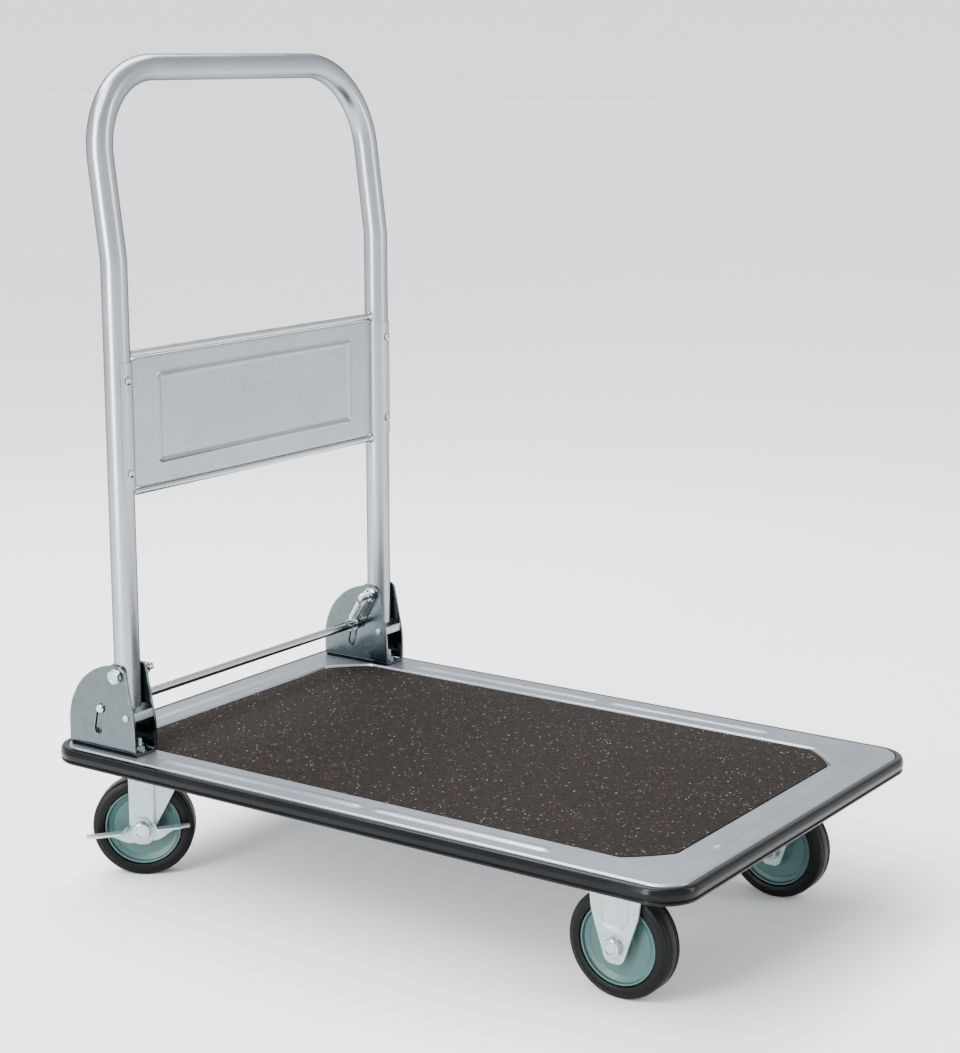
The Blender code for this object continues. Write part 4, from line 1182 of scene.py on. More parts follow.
class CART_OT_panel(bpy.types.Operator):
    """Add the sheet between the legs, with hemmed edges, wrapped ends and a pressed frame"""

    bl_idname = "cart.panel"
    bl_label = "Back Panel"

    def execute(self, context):
        handle = settings("handle")
        low, high = corners_of("handle_panel")
        pivot = pivot_point(1)
        _, radius = hoop_path()
        section = panel_section(handle, radius, pivot[1], 300)
        across = section[:, 1]
        hem_radius, hem_depth = 1.2 * MM, 4.5 * MM
        flat_share = smooth((pivot[1] - radius - 6 * MM - np.abs(across)) / (6 * MM))
        bottom, top = low[2], high[2]
        curl = np.linspace(math.pi, 0, 6)
        hem_back = np.concatenate([[-2 * hem_radius], -hem_radius * (1 - np.cos(curl))])
        hem_rise = np.concatenate([[-hem_depth], hem_radius * np.sin(curl)])
        rows = []
        for back, rise in zip(hem_back, hem_rise):
            rows.append((back * flat_share, bottom + hem_radius - rise * flat_share))
        flat_heights = np.linspace(bottom + hem_radius, top - hem_radius, 84)
        rows += [(np.zeros(len(across)), np.full(len(across), z)) for z in flat_heights]
        for back, rise in zip(hem_back[::-1], hem_rise[::-1]):
            rows.append((back * flat_share, top - hem_radius + rise * flat_share))
        back, height = np.stack([r[0] for r in rows]), np.stack([r[1] for r in rows])
        y = np.broadcast_to(across, back.shape)
        x = pivot[0] + section[:, 0] + back + self.pressed_frame(handle, y, height, pivot[1], bottom, top)
        sheet = surface("back_panel", np.stack([x, y, height], axis=-1), shut=False)
        piece = walled(sheet, handle.panel_steel, edge=0)
        finish(piece, "deck_paint", "handle_panel")
        return {"FINISHED"}

    def pressed_frame(self, handle, y, z, leg_y, bottom, top):
        """A raised bead: its height times the squared cosine of the distance from a rounded rectangle."""
        side, above, below = handle.bead_inset
        half_width, half_height = leg_y - side, (top - bottom - above - below) / 2
        middle = bottom + below + half_height
        corner, bead_half, bead = 4 * MM, 2.6 * MM, 2.0 * MM
        past_y = np.abs(y) - half_width + corner
        past_z = np.abs(z - middle) - half_height + corner
        distance = past_edges(past_y, past_z)
        near = np.clip(np.abs(distance - corner) / bead_half, 0, 1)
        return bead * np.cos(near * math.pi / 2) ** 2


class CART_OT_tie_rods(bpy.types.Operator):
    """Add the two rods above and below the panel, with a weld bead at each end"""

    bl_idname = "cart.tie_rods"
    bl_label = "Tie Rods"

    def execute(self, context):
        for level in ("upper", "lower"):
            low, high = corners_of(level + "_cross_rod")
            radius, half = (high[2] - low[2]) / 2, (high[1] - low[1]) / 2
            along = np.concatenate([np.linspace(0, 9 * MM, 14), np.linspace(12 * MM, half, 30)])
            swell = 1.6 * MM * np.exp(-((along / (2.2 * MM)) ** 2))
            profile = np.column_stack([radius + swell, along - half])
            profile = np.concatenate([[(0, -half)], profile])
            profile = np.concatenate([profile, profile[-2::-1] * np.array([1, -1])])
            piece = turned(
                "tie_rod_" + level, profile, centre_of(level + "_cross_rod"), (0, 1, 0), 40, sharp=45,
            )
            finish(piece, "bright_zinc", level + "_cross_rod")
        return {"FINISHED"}


class CART_OT_panel_screws(bpy.types.Operator):
    """Add the pan-head screws that hold the panel to the legs, each with a cross recess"""

    bl_idname = "cart.panel_screws"
    bl_label = "Panel Screws"

    def execute(self, context):
        for side_name, _ in SIDES:
            for level in ("upper", "lower"):
                node = f"panel_screw_{level}_{side_name}"
                low, high = corners_of(node)
                middle = centre_of(node)
                seat = high[0] - 2.2 * MM
                radius = (high[2] - low[2]) / 2
                shank = 1.8 * MM
                profile = eased([
                    (0, high[0] - seat, 0), (radius * 0.55, (high[0] - seat) * 0.95, 0.6 * MM),
                    (radius, 0.9 * MM, 0.5 * MM), (radius, 0.0, 0.1 * MM), (shank, 0, 0.1 * MM),
                    (shank, low[0] - seat + 1 * MM, 0), (0, low[0] - seat, 0),
                ])
                piece = turned(
                    f"pan_screw_{level}_{side_name}", profile, np.array([seat, *middle[1:]]), (1, 0, 0), 48,
                )
                slot_long, slot_wide, slot_deep = 2.0 * MM, 0.45 * MM, 0.8 * MM
                cross = [
                    np.array([(-a, -b), (a, -b), (a, b), (-a, b)])
                    for a, b in ((slot_long, slot_wide), (slot_wide, slot_long))
                ]
                cutters = [prism(outline, slot_deep, FACING, (high[0], *middle[1:])) for outline in cross]
                softened(piece, 0, cutters)
                finish(piece, "bright_zinc", node)
        return {"FINISHED"}


# ---------------------------------------------------------------- operators: brackets and lock


def bar_places(side):
    """The lock bar's centre beside one leg, at rest and pressed down."""
    x, _, z = centre_of("lock_bar")
    rest = np.array([x, pivot_point(side)[1], z])
    travel = joint_of("lock_press")
    return rest, rest + np.array(travel["axis"]) * travel["range_m"][1]


class CART_OT_brackets(bpy.types.Operator):
    """Add the folded brackets, their stop straps and the straps' rivets"""

    bl_idname = "cart.brackets"
    bl_label = "Handle Brackets"

    def execute(self, context):
        for side_name, side in SIDES:
            node = "bracket_" + side_name
            pivot = pivot_point(side)
            low, high = corners_of(node)
            piece = self.folded(node, pivot, low - pivot, high - pivot)
            piece.name = "handle_bracket_" + side_name
            finish(piece, "bracket_zinc", node)
            # Painted shadow: dark strips under the bracket's bends stand for the shade there.
            self.shadow_strips(side_name, pivot, low - pivot, high - pivot)
            strap_x, strap_z = self.strap(side_name, pivot, low - pivot, high - pivot)
            for face, place_name in ((-1, "a"), (1, "b")):
                origin = (strap_x - 7 * MM, pivot[1] + face * (high[1] - low[1]) / 2, strap_z - 1 * MM)
                rivet = domed_head(
                    f"strap_rivet_{side_name}_{place_name}", origin, (0, face, 0), 3.6 * MM, 2.4 * MM,
                )
                finish(rivet, "castor_zinc", body="chassis")
        return {"FINISHED"}

    def front_edge(self, z, crown, front):
        """Ahead of the pivot at a height: a straight slope that turns upright at the knee, and a
        rounded upper corner."""
        knee = settings("bracket").knee
        top_front, corner = crown, 7 * MM
        slope = top_front + (front - top_front) * (crown - z) / (crown + knee)
        edge = front - hinge(front - slope, 1.2 * MM)
        inside = np.clip(z - (crown - corner), 0, corner)
        return edge - (corner - np.sqrt(np.maximum(corner**2 - inside**2, 0)))

    def folded(self, node, pivot, low, high):
        """Rows down one cheek, round the bend, across the foot and up the other cheek. Each row runs
        from the rear edge to the front edge at its height; the rear shoulder is a circle."""
        bracket = settings("bracket")
        crown, front, rear = high[2], high[0], low[0]
        half = (high[1] - low[1]) / 2 - bracket.steel / 2
        foot = low[2] + bracket.steel / 2
        shoulder_x, shoulder_z = rear + bracket.shoulder, crown - bracket.shoulder
        turn = np.linspace(math.pi / 2, 0, 40)
        upper = shoulder_z + bracket.shoulder * np.sin(turn)
        lower = np.linspace(shoulder_z, foot + bracket.bend, 14)[1:]
        down = np.column_stack([np.full(len(upper) + len(lower), -half), np.concatenate([upper, lower])])
        angle = np.linspace(0, math.pi / 2, 9)[1:]
        corner = np.column_stack([
            -half + bracket.bend * (1 - np.cos(angle)), foot + bracket.bend * (1 - np.sin(angle)),
        ])
        across = np.column_stack([np.linspace(-half + bracket.bend, 0, 8)[1:], np.full(7, foot)])
        left = np.concatenate([down, corner, across])
        strip = np.concatenate([left, left[-2::-1] * np.array([-1, 1])])
        y, z = strip.T
        lift = np.clip(z - shoulder_z, 0, bracket.shoulder)
        back = shoulder_x - np.sqrt(np.maximum(bracket.shoulder**2 - lift**2, 0))
        ahead = self.front_edge(z, crown, front)
        share = np.linspace(0, 1, 30)
        x = back[:, None] * (1 - share) + ahead[:, None] * share
        grid = np.stack([x, *(np.broadcast_to(v[:, None], x.shape) for v in (y, z))], axis=-1) + pivot
        sheet = surface(node + "_sheet", grid, shut=False)
        rest, down_place = bar_places(int(math.copysign(1, pivot[1])))
        bar_low, bar_high = corners_of("lock_bar")
        radius = (bar_high[2] - bar_low[2]) / 2 + 0.5 * MM
        slot = self.slot_outline(rest - pivot, down_place - pivot, radius)
        depth = 40 * MM
        holes = (slot, circle(M8[0] + PLAY, 32))
        cutters = [prism(outline, depth, UPRIGHT, pivot) for outline in holes]
        return walled(sheet, bracket.steel, edge=0.4 * MM, cutters=cutters)

    def slot_outline(self, top, bottom, radius):
        """Two half circles about the bar's two places, joined by straight sides."""
        start, end = top[[0, 2]], bottom[[0, 2]]
        along = unit(start - end)
        lean = math.atan2(along[1], along[0])
        upper = lean + np.linspace(-math.pi / 2, math.pi / 2, 17)
        lower = upper + math.pi
        return np.concatenate([
            start + radius * np.column_stack([np.cos(upper), np.sin(upper)]),
            end + radius * np.column_stack([np.cos(lower), np.sin(lower)]),
        ])

    def shadow_strips(self, side_name, pivot, low, high):
        """Painted shadow: dark vinyl strips in the groove under each of a bracket's two bends, standing for
        the shade that falls under the bends.
        """
        out = (high[1] - low[1]) / 2
        groove = np.array([(-4.1, 0), (-0.5, 0), (-0.4, 1.9), (-1.7, 1.3), (-3.1, 0.4)]) * MM
        groove[:, 0] += out
        ends = np.array([low[0] + 1.5 * MM, high[0] - 1.5 * MM])
        path = pivot + np.column_stack([np.linspace(*ends, 8), np.zeros(8), np.full(8, low[2])])
        for face, place_name in ((-1, "a"), (1, "b")):
            section = groove * np.array([-face, 1])
            # Painted shadow: each strip is dark vinyl put where there is only shade under the bend.
            shadow_strip_piece = carried(f"foot_shadow_strip_{side_name}_{place_name}", section, path, np.array([0, 0, 1.0]))
            finish(shadow_strip_piece, "bumper_vinyl", body="chassis")

    def strap(self, side_name, pivot, low, high):
        """The strap across the front of a bracket, which the leg stands against."""
        drop, height, steel = 40 * MM, 8 * MM, 3 * MM
        front = float(self.front_edge(np.array(-drop), high[2], high[0])) - 0.8 * MM
        half = (high[1] - low[1]) / 2 - 0.2 * MM
        outline = eased([
            (-half, -height / 2, 1.2 * MM), (half, -height / 2, 1.2 * MM),
            (half, height / 2, 1.2 * MM), (-half, height / 2, 1.2 * MM),
        ], closed=True)
        origin = pivot + np.array([front - steel / 2, 0, -drop])
        piece = slab("stop_strap_" + side_name, outline, -steel / 2, steel / 2, 0.5 * MM, FACING, origin)
        finish(baked(piece), "castor_zinc", body="chassis")
        return origin[0], origin[2]


class CART_OT_bracket_bolts(bpy.types.Operator):
    """Add the pivot bolts and nuts, and the bolts and nuts that hold the brackets down"""

    bl_idname = "cart.bracket_bolts"
    bl_label = "Bracket Bolts"

    def execute(self, context):
        gap = 0.3 * MM
        for side_name, side in SIDES:
            pivot = pivot_point(side)
            low, high = corners_of("bracket_" + side_name)
            grip = (high[1] - low[1]) / 2 + gap
            bolt_low, bolt_high = corners_of("pivot_bolt_" + side_name)
            length = bolt_high[1] - bolt_low[1] - M8[2] + 3 * MM
            outward = np.array([0.0, side, 0.0])
            bolt = hex_bolt(
                "pivot_screw_" + side_name, pivot + outward * grip, outward, *M8, length, 17 * MM,
            )
            finish(bolt, "bright_zinc", "pivot_bolt_" + side_name)
            nut = hex_nut("pivot_lock_nut_" + side_name, pivot - outward * grip, -outward, *M8)
            finish(nut, "bright_zinc", "pivot_nut_" + side_name)
            for end in ("front", "rear"):
                tail = f"{end}_{side_name}"
                bolt_low, bolt_high = corners_of("anchor_bolt_" + tail)
                middle = centre_of("anchor_bolt_" + tail)
                under = bolt_low[2] + M8[2]
                up = np.array([0.0, 0.0, 1.0])
                seat = np.array([middle[0], middle[1], under])
                bolt = hex_bolt("foot_bolt_" + tail, seat, -up, *M8, bolt_high[2] - under, 12 * MM)
                finish(bolt, "bright_zinc", "anchor_bolt_" + tail)
                nut_low, _ = corners_of("anchor_nut_" + tail)
                nut = hex_nut("foot_nut_" + tail, (middle[0], middle[1], nut_low[2]), up, *M8)
                finish(nut, "bright_zinc", "anchor_nut_" + tail)
        return {"FINISHED"}


class CART_OT_lock(bpy.types.Operator):
    """Add the foot bar with its collars, and the return springs"""

    bl_idname = "cart.lock"
    bl_label = "Foot Bar and Springs"

    def execute(self, context):
        low, high = corners_of("lock_bar")
        radius, half = (high[2] - low[2]) / 2, (high[1] - low[1]) / 2
        bracket_low, _ = corners_of("bracket_right")
        collar_far = bracket_low[1] - 0.5 * MM
        collar_near, collar = collar_far - 1.8 * MM, radius + 2.2 * MM
        chamfer = 0.9 * MM
        right = [
            (radius, collar_near - 0.2 * MM), (collar, collar_near), (collar, collar_far),
            (radius, collar_far + 0.2 * MM),
            (radius, half - chamfer), (radius - chamfer, half), (0, half),
        ]
        left = [(r, -h) for r, h in reversed(right)]
        bar = turned("foot_bar", np.array(left + right), centre_of("lock_bar"), (0, 1, 0), 48)
        finish(bar, "bright_zinc", "lock_bar")
        for side_name, side in SIDES:
            self.spring(side_name, side, radius)
        return {"FINISHED"}

    def spring(self, side_name, side, bar_radius):
        """A wire that starts round the pivot bolt, winds down a helix and ends round the foot bar.
        On the helix the angle grows evenly with the fall; each hook is an arc about its own bar."""
        node = "lock_spring_" + side_name
        wire, coil = 0.85 * MM, 4.4 * MM
        pivot = pivot_point(side)
        bar, _ = bar_places(side)
        top, bottom = np.array([pivot[0], pivot[2]]), bar[[0, 2]]
        down = unit(bottom - top)
        across = np.array([-down[1], down[0]])
        length = np.linalg.norm(bottom - top)
        y_middle = centre_of(node)[1]
        hook_gap = 9 * MM
        turns = settings("bracket").spring_turns

        def hook(centre, hook_radius, start, end):
            angle = np.radians(np.linspace(start, end, 26))
            outward = np.cos(angle)[:, None] * across - np.sin(angle)[:, None] * down
            return centre + hook_radius * outward, outward

        upper, upper_out = hook(top, M8[0] + PLAY + wire, 240, -20)
        lower, lower_out = hook(bottom, bar_radius + 0.3 * MM + wire, 20, -240)
        angle = np.linspace(0, math.tau * turns, turns * 20 + 1)
        fall = np.linspace(hook_gap, length - hook_gap, len(angle))
        helix = top + fall[:, None] * down + coil * np.cos(angle)[:, None] * across
        flat = np.concatenate([upper, helix, lower])
        sideways = np.concatenate([np.zeros(len(upper)), coil * np.sin(angle), np.zeros(len(lower))])
        out_flat = np.concatenate([upper_out, np.cos(angle)[:, None] * across, lower_out])
        out_side = np.concatenate([np.zeros(len(upper)), np.sin(angle), np.zeros(len(lower))])
        path = np.column_stack([flat[:, 0], y_middle + sideways, flat[:, 1]])
        radial = np.column_stack([out_flat[:, 0], out_side, out_flat[:, 1]])
        piece = carried("return_spring_" + side_name, circle(wire, 10), path, radial)
        piece.data.materials.append(material_of("bright_zinc"))
        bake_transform(piece)
        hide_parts(node)


# ---------------------------------------------------------------- operators: castors


def fork_sheet(name, centre, axes, crown, rear_edge, front_edge, press, cutters=()):
    """A strip bent into a U over the wheel. Each row of a leg runs from the rear edge to the front edge
    at its height, and the pressing moves it towards the wheel."""
    castor = settings("castor")
    tip, steel = castor.fork_tip, castor.fork_steel
    half = castor.fork_gap / 2 + steel / 2
    top = crown - centre[2] - steel / 2
    bend, fine = 5 * MM, 8 * MM
    low = 0.02 * MM - tip + fine * (1 - np.cos(np.linspace(0, math.pi / 2, 14)))
    leg = np.concatenate([low, np.linspace(low[-1], top - bend, 52)[1:]])
    angle = np.linspace(0, math.pi / 2, 10)[1:]
    side = np.column_stack([np.full(len(leg), -half), leg])
    corner = np.column_stack([-half + bend * (1 - np.cos(angle)), top - bend * (1 - np.sin(angle))])
    flat = np.column_stack([np.linspace(-half + bend, 0, 8)[1:], np.full(7, top)])
    left = np.concatenate([side, corner, flat])
    strip = np.concatenate([left, left[-2::-1] * np.array([-1, 1])])
    y, z = strip.T

    def edge_at(edge):
        line = eased([(0, -tip, 0), *edge, (edge[-1][0], top + 1 * MM, 0)], steps=14)
        return np.interp(z, line[:, 1], line[:, 0])[:, None]

    back, ahead = edge_at(rear_edge), edge_at(front_edge)
    share = np.linspace(0, 1, 57)
    x = back * (1 - share) + ahead * share
    y, z = (np.broadcast_to(v[:, None], x.shape) for v in (y, z))
    y = y - np.sign(y) * press(x, z) * smooth((top - bend - z) / (3 * MM))
    grid = np.stack([x, y, z], axis=-1) @ axes + centre
    return walled(surface(name, grid, shut=False), steel, edge=0.4 * MM, cutters=cutters)


def rounded_dish(x, z):
    """A shallow dish with an open top: its depth fades across the distance inside a rounded rectangle."""
    half, floor, corner, depth = 14.4 * MM, 15.5 * MM, 11 * MM, 1.3 * MM
    past_x, past_z = np.abs(x) - half + corner, floor + corner - z
    outside = past_edges(past_x, past_z)
    return depth * smooth((corner - outside) / (1.7 * MM))


def front_step(x, _):
    """A fold down the leg: everything ahead of it is set inwards by one depth."""
    return 1.6 * MM * smooth((x - 11.4 * MM) / (2.4 * MM))


def castor_plate(name, centre, low_z, high_z, length, width):
    """A mounting plate with a slotted hole near each corner."""
    outline = ring(length, width, 8 * MM, sides=(4, 4), corner=8)
    origin = np.array([centre[0], centre[1], 0])
    hole_half, hole_radius = 3 * MM, 4.4 * MM
    arcs = np.linspace(-math.pi / 2, math.pi / 2, 9)
    end = np.column_stack([hole_half + hole_radius * np.cos(arcs), hole_radius * np.sin(arcs)])
    slot = np.concatenate([end, -end])
    cutters = []
    for place in plate_holes(centre, length, width):
        cutters.append(prism(slot, 10 * MM, np.eye(3), (*place, high_z)))
    piece = slab(name, outline, low_z, high_z, 0.5 * MM, origin=origin)
    return softened(piece, 0, cutters)


def plate_holes(centre, length, width):
    inset = 11 * MM
    return [
        (centre[0] + a * (length / 2 - inset), centre[1] + b * (width / 2 - inset))
        for a in (-1, 1) for b in (-1, 1)
    ]


PLATE_SIZE = (90 * MM, 76 * MM)


class CART_OT_castor_mounts(bpy.types.Operator):
    """Add the castor plates, their studs and nuts, the ball races and the king bolts"""

    bl_idname = "cart.castor_mounts"
    bl_label = "Castor Mounts"

    def execute(self, context):
        for side_name, _ in SIDES:
            low, high = corners_of("swivel_plate_" + side_name)
            centre = (low + high) / 2
            plate = castor_plate("castor_plate_rear_" + side_name, centre, low[2], high[2], *PLATE_SIZE)
            finish(plate, "castor_zinc", "swivel_plate_" + side_name)
            self.studs(f"rear_{side_name}", centre, low[2], high[2])
            fork_low, fork_high = corners_of("fixed_fork_" + side_name)
            fork_centre = (fork_low + fork_high) / 2
            steel = high[2] - low[2]
            plate = castor_plate(
                "castor_plate_front_" + side_name, fork_centre, fork_high[2] - steel, fork_high[2],
                *PLATE_SIZE,
            )
            finish(plate, "castor_zinc", body="chassis")
            self.studs(f"front_{side_name}", fork_centre, fork_high[2] - steel, fork_high[2])
            self.race(side_name)
            self.king_bolt(side_name)
        return {"FINISHED"}

    def studs(self, tail, centre, low_z, high_z):
        """A welded stud and its nut in each of a plate's holes."""
        for number, (x, y) in enumerate(plate_holes(centre, *PLATE_SIZE)):
            down = np.array([0.0, 0.0, -1.0])
            radius, across, height = 3.5 * MM, 11 * MM, 5 * MM
            rows = [even_row(0, 0), even_row(radius, 0), even_row(radius, 3 * MM)]
            length = high_z - low_z + height + 3 * MM
            rows += thread_rows(radius, 3 * MM, length - 0.6 * MM)
            rows += [even_row(radius * 0.7, length), even_row(0, length)]
            stud = revolve_rows(f"plate_stud_{tail}_{number}", rows, (x, y, high_z), down)
            finish(stud, "bright_zinc", body="chassis")
            nut = hex_nut(f"plate_nut_{tail}_{number}", (x, y, low_z), down, radius, across, height)
            finish(nut, "bright_zinc", body="chassis")

    def race(self, side_name):
        """The ball race: a pressed cup with a rolled lip and a dust groove."""
        low, high = corners_of("swivel_race_" + side_name)
        centre = (low + high) / 2
        radius, height = (high[0] - low[0]) / 2, high[2] - low[2]
        bore = KING_BORE
        profile = eased([
            (bore, height, 0.3 * MM), (radius * 0.80, height, 1.5 * MM),
            (radius * 0.9, height * 0.72, 1 * MM),
            (radius, height * 0.60, 1.2 * MM), (radius, height * 0.38, 0.5 * MM),
            (radius * 0.94, height * 0.34, 0.3 * MM),
            (radius * 0.94, height * 0.26, 0.3 * MM), (radius, height * 0.22, 0.5 * MM),
            (radius, 0, 0.6 * MM), (bore, 0, 0.3 * MM),
        ], closed=True)
        piece = turned(
            "ball_race_" + side_name, profile, (centre[0], centre[1], low[2]), (0, 0, 1), 96, loop=True,
        )
        finish(piece, "castor_zinc", "swivel_race_" + side_name)

    def king_bolt(self, side_name):
        low, high = corners_of("kingpin_" + side_name)
        centre = (low + high) / 2
        radius, head, head_height = KING_RADIUS, (high[0] - low[0]) / 2, 4 * MM
        height = high[2] - low[2]
        profile = eased([
            (0, height, 0), (radius - 0.6 * MM, height, 0.2 * MM), (radius, height - 0.6 * MM, 0.2 * MM),
            (radius, head_height, 0.4 * MM), (head, head_height, 0.5 * MM),
            (head, head_height * 0.5, 1 * MM),
            (head * 0.7, 0, 1 * MM), (head * 0.35, 0, 0.4 * MM), (head * 0.3, 0.8 * MM, 0.3 * MM),
            (0, 0.8 * MM, 0),
        ])
        piece = turned("king_bolt_" + side_name, profile, (centre[0], centre[1], low[2]), (0, 0, 1), 64)
        finish(piece, "bright_zinc", "kingpin_" + side_name)


class CART_OT_forks(bpy.types.Operator):
    """Add the two fixed forks at the free end and the two swivel forks at the handle end"""

    bl_idname = "cart.forks"
    bl_label = "Castor Forks"

    def execute(self, context):
        race_low, race_high = corners_of("swivel_race_left")
        reach = (race_high[0] - race_low[0]) / 2
        tip = settings("castor").fork_tip
        for side_name, _ in SIDES:
            centre, axes = wheel_frame("front_" + side_name)
            _, high = corners_of("fixed_fork_" + side_name)
            plate_low, plate_high = corners_of("swivel_plate_" + side_name)
            crown = high[2] - (plate_high[2] - plate_low[2])
            flank = [
                (8.6 * MM, -tip, 8.4 * MM), (23.8 * MM, 30 * MM, 40 * MM), (29 * MM, crown - centre[2], 0),
            ]
            mirrored = [(-x, z, radius) for x, z, radius in flank]
            fork = fork_sheet(
                "castor_horn_front_" + side_name, centre, axes, crown, mirrored, flank, rounded_dish,
            )
            finish(fork, "castor_zinc", "fixed_fork_" + side_name)
            centre, axes = wheel_frame("rear_" + side_name)
            _, high = corners_of("swivel_fork_" + side_name)
            pin = np.array(joint_of("swivel_turn_" + side_name)["pos_m"], float)
            trail = float(axes[0] @ (pin - centre))
            hole = prism(circle(KING_BORE, 32), 8 * MM, np.eye(3), (pin[0], pin[1], high[2]))
            rise = high[2] - centre[2]
            rear = [(-9 * MM, -tip, 8 * MM), (-12.5 * MM, 4 * MM, 20 * MM), (-12.8 * MM, rise, 0)]
            front = [(9 * MM, -tip, 8 * MM), (12.8 * MM, 1 * MM, 14 * MM), (trail + reach, rise, 0)]
            fork = fork_sheet(
                "castor_horn_rear_" + side_name, centre, axes, high[2], rear, front, front_step, [hole],
            )
            finish(fork, "castor_zinc", "swivel_fork_" + side_name)
        return {"FINISHED"}


class CART_OT_wheels(bpy.types.Operator):
    """Add the four wheels: grooved rubber tyres on dished plastic centres"""

    bl_idname = "cart.wheels"
    bl_label = "Wheels"

    def execute(self, context):
        for end in ("front", "rear"):
            for side_name, _ in SIDES:
                corner = f"{end}_{side_name}"
                centre, axes = wheel_frame(corner)
                self.tyre(corner, centre, axes[1])
                self.centre(corner, centre, axes[1])
        return {"FINISHED"}

    def mirrored(self, half):
        return half + [(radius, -height, ease) for radius, height, ease in reversed(half)]

    def tyre(self, corner, centre, axle):
        castor = settings("castor")
        low, _ = corners_of("tyre_" + corner)
        tread, half = centre[2] - low[2], castor.tyre_width / 2
        inner = castor.hub_radius + 0.3 * MM
        groove = 1.2 * MM
        profile = [
            (inner, half - 2.4 * MM, 0.3 * MM), (inner + 0.8 * MM, half - 0.5 * MM, 0.6 * MM),
            (inner + 4 * MM, half, 1.5 * MM), (tread - 5 * MM, half, 1.2 * MM),
            (tread - 4.4 * MM, half - 0.5 * MM, 0.3 * MM),
            (tread - 1.2 * MM, half - 1.6 * MM, 1.2 * MM), (tread, half - 3.6 * MM, 1.5 * MM),
        ]
        for height in (half - 5.4 * MM, half - 8.0 * MM):
            profile += [
                (tread, height + 0.8 * MM, 0.25 * MM), (tread - groove, height + 0.35 * MM, 0.2 * MM),
                (tread - groove, height - 0.35 * MM, 0.2 * MM), (tread, height - 0.8 * MM, 0.25 * MM),
            ]
        points = eased(self.mirrored(profile), closed=True, steps=3)
        piece = turned("rubber_tyre_" + corner, points, centre, axle, 128, loop=True, sharp=40)
        finish(piece, "tyre_rubber", "tyre_" + corner)

    def centre(self, corner, centre, axle):
        """The moulded wheel centre: bore, boss, dished web with a raised ring, and a rolled rim lip."""
        rim = settings("castor").hub_radius
        boss = settings("castor").fork_gap / 2 - 0.7 * MM
        profile = [
            (M10[0] + PLAY, boss, 0.3 * MM), (11.5 * MM, boss, 0.8 * MM), (13.2 * MM, 6.6 * MM, 1.2 * MM),
            (17 * MM, 6.0 * MM, 2 * MM), (30.4 * MM, 6.0 * MM, 0.5 * MM), (32.0 * MM, 7.0 * MM, 0.5 * MM),
            (35.8 * MM, 8.2 * MM, 0.8 * MM), (36.4 * MM, 11.2 * MM, 0.5 * MM),
            (rim - 0.4 * MM, 11.4 * MM, 0.5 * MM),
            (rim, 10.2 * MM, 0.3 * MM),
        ]
        points = eased(self.mirrored(profile), closed=True, steps=4)
        piece = turned("wheel_centre_" + corner, points, centre, axle, 112, loop=True, sharp=40)
        finish(piece, "hub_plastic", "hub_" + corner)


class CART_OT_axles(bpy.types.Operator):
    """Add the wheels' bolts and their lock nuts"""

    bl_idname = "cart.axles"
    bl_label = "Wheel Bolts"

    def execute(self, context):
        castor = settings("castor")
        leg = castor.fork_gap / 2 + castor.fork_steel + 0.3 * MM
        pedal = 2.3 * MM
        tail = 2.5 * MM
        for side_name, side in SIDES:
            for end, facing, head_at in (("front", side, leg), ("rear", -1, leg + pedal)):
                corner = f"{end}_{side_name}"
                centre, axes = wheel_frame(corner)
                outward = axes[1] * facing
                length = head_at + leg + M10[2] + tail
                bolt = hex_bolt(
                    "wheel_bolt_" + corner, centre + outward * head_at, outward, *M10, length, 12 * MM,
                )
                finish(bolt, "bright_zinc", "axle_bolt_" + corner)
                nut = hex_nut("wheel_nut_" + corner, centre - outward * leg, -outward, *M10)
                finish(nut, "bright_zinc", "axle_nut_" + corner)
        return {"FINISHED"}


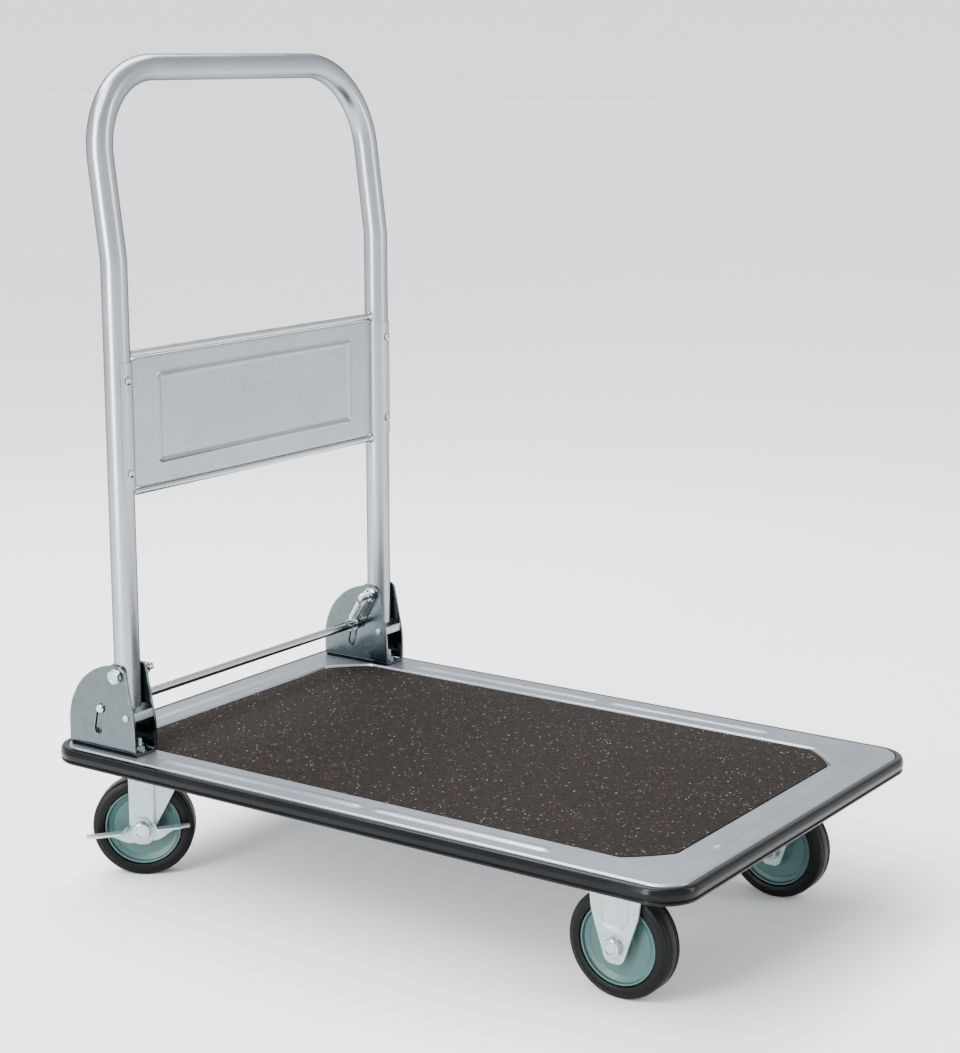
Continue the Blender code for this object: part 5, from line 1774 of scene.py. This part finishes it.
class CART_OT_pedals(bpy.types.Operator):
    """Add the brake pedals on the swivel castors"""

    bl_idname = "cart.pedals"
    bl_label = "Brake Pedals"

    def execute(self, context):
        castor = settings("castor")
        steel = 2 * MM
        for side_name, _ in SIDES:
            centre, axes = wheel_frame("rear_" + side_name)
            tilt = castor.pedal_tilt
            level, slope = math.cos(tilt), math.sin(tilt)
            swing = np.array([[level, 0, slope], [0, 1.0, 0], [-slope, 0, level]])
            face = castor.fork_gap / 2 + castor.fork_steel + 0.3 * MM + steel / 2
            grid = self.pressing(face) @ swing @ axes + centre
            hole = prism(circle(M10[0] + PLAY, 40), 10 * MM, UPRIGHT @ axes, centre - axes[1] * face)
            sheet = surface("brake_pedal_" + side_name, grid, shut=False)
            piece = walled(sheet, steel, edge=0.4 * MM, cutters=[hole])
            finish(piece, "castor_zinc", "brake_lever_" + side_name)
        return {"FINISHED"}

    def pressing(self, face):
        """One pressing from tip to tip. At each place along it the plate below the axle's line hangs
        straight down, and the plate above it stands up at the boss and lies down flat on the wings."""
        rear, ahead, width, boss, least = -56 * MM, 48 * MM, 14 * MM, 12 * MM, 1.5 * MM
        along = np.linspace(rear, ahead, 90)[:, None]
        down = np.linspace(-1, 0, 12)
        up = np.linspace(0, 1, 18)[1:]
        at_boss = np.sqrt(np.maximum(1 - (np.clip(np.abs(along), 0, boss) / boss) ** 2, 0))
        hang = 3 * MM + 9.5 * MM * smooth((36 * MM - np.abs(along)) / (24 * MM))
        lay = smooth((np.abs(along) - 9 * MM) / (9 * MM)) * math.radians(84)
        end_taper = np.where(along < 0, along / rear, along / ahead)
        wing = width * np.sqrt(np.maximum(1 - np.clip((end_taper - 0.72) / 0.30, 0, 1) ** 2, 0))
        crown = boss * at_boss * (1 - smooth((np.abs(along) - 6 * MM) / (8 * MM)))
        spread_wing = wing * smooth((np.abs(along) - 7 * MM) / (12 * MM))
        reach = np.maximum(np.maximum(crown, spread_wing), least)
        lower_y = np.zeros((len(along), len(down)))
        lower_z = np.minimum(hang, np.maximum(wing, least)) * down
        upper_y, upper_z = -reach * np.sin(lay) * up, reach * np.cos(lay) * up
        y = np.concatenate([lower_y, upper_y], axis=1)
        z = np.concatenate([lower_z, upper_z], axis=1)
        x = np.broadcast_to(along, y.shape)
        return np.stack([x, y - face, z], axis=-1)


# ---------------------------------------------------------------- panel and registration


OPERATORS = (
    CART_OT_stage, CART_OT_deck, CART_OT_mat, CART_OT_bumper, CART_OT_channels,
    CART_OT_hoop, CART_OT_panel, CART_OT_tie_rods, CART_OT_panel_screws,
    CART_OT_brackets, CART_OT_bracket_bolts, CART_OT_lock,
    CART_OT_castor_mounts, CART_OT_forks, CART_OT_wheels, CART_OT_axles, CART_OT_pedals,
)
SETTINGS = {
    "stage": CartStageSettings,
    "deck": CartDeckSettings,
    "handle": CartHandleSettings,
    "bracket": CartBracketSettings,
    "castor": CartCastorSettings,
    "finish": CartFinishSettings,
}


class CART_PT_sidebar(bpy.types.Panel):
    """Every step of the cart, with the settings that it reads"""

    bl_idname = "CART_PT_sidebar"
    bl_label = "Folding Platform Cart"
    bl_space_type = "VIEW_3D"
    bl_region_type = "UI"
    bl_category = "Cart"

    def draw(self, context):
        for operator in OPERATORS:
            self.layout.operator(operator.bl_idname)
        for group, kind in SETTINGS.items():
            box = self.layout.box()
            box.label(text=group.title())
            for name in kind.__annotations__:
                box.prop(settings(group), name)


def register():
    for kind in (*SETTINGS.values(), *OPERATORS, CART_PT_sidebar):
        bpy.utils.register_class(kind)
    for group, kind in SETTINGS.items():
        setattr(bpy.types.Scene, "cart_" + group, PointerProperty(type=kind))


def unregister():
    for group in SETTINGS:
        delattr(bpy.types.Scene, "cart_" + group)
    for kind in reversed((*SETTINGS.values(), *OPERATORS, CART_PT_sidebar)):
        bpy.utils.unregister_class(kind)


def main():
    register()
    for operator in OPERATORS:
        _, step = operator.bl_idname.split(".")
        getattr(bpy.ops.cart, step)()


if __name__ == "__main__":
    main()
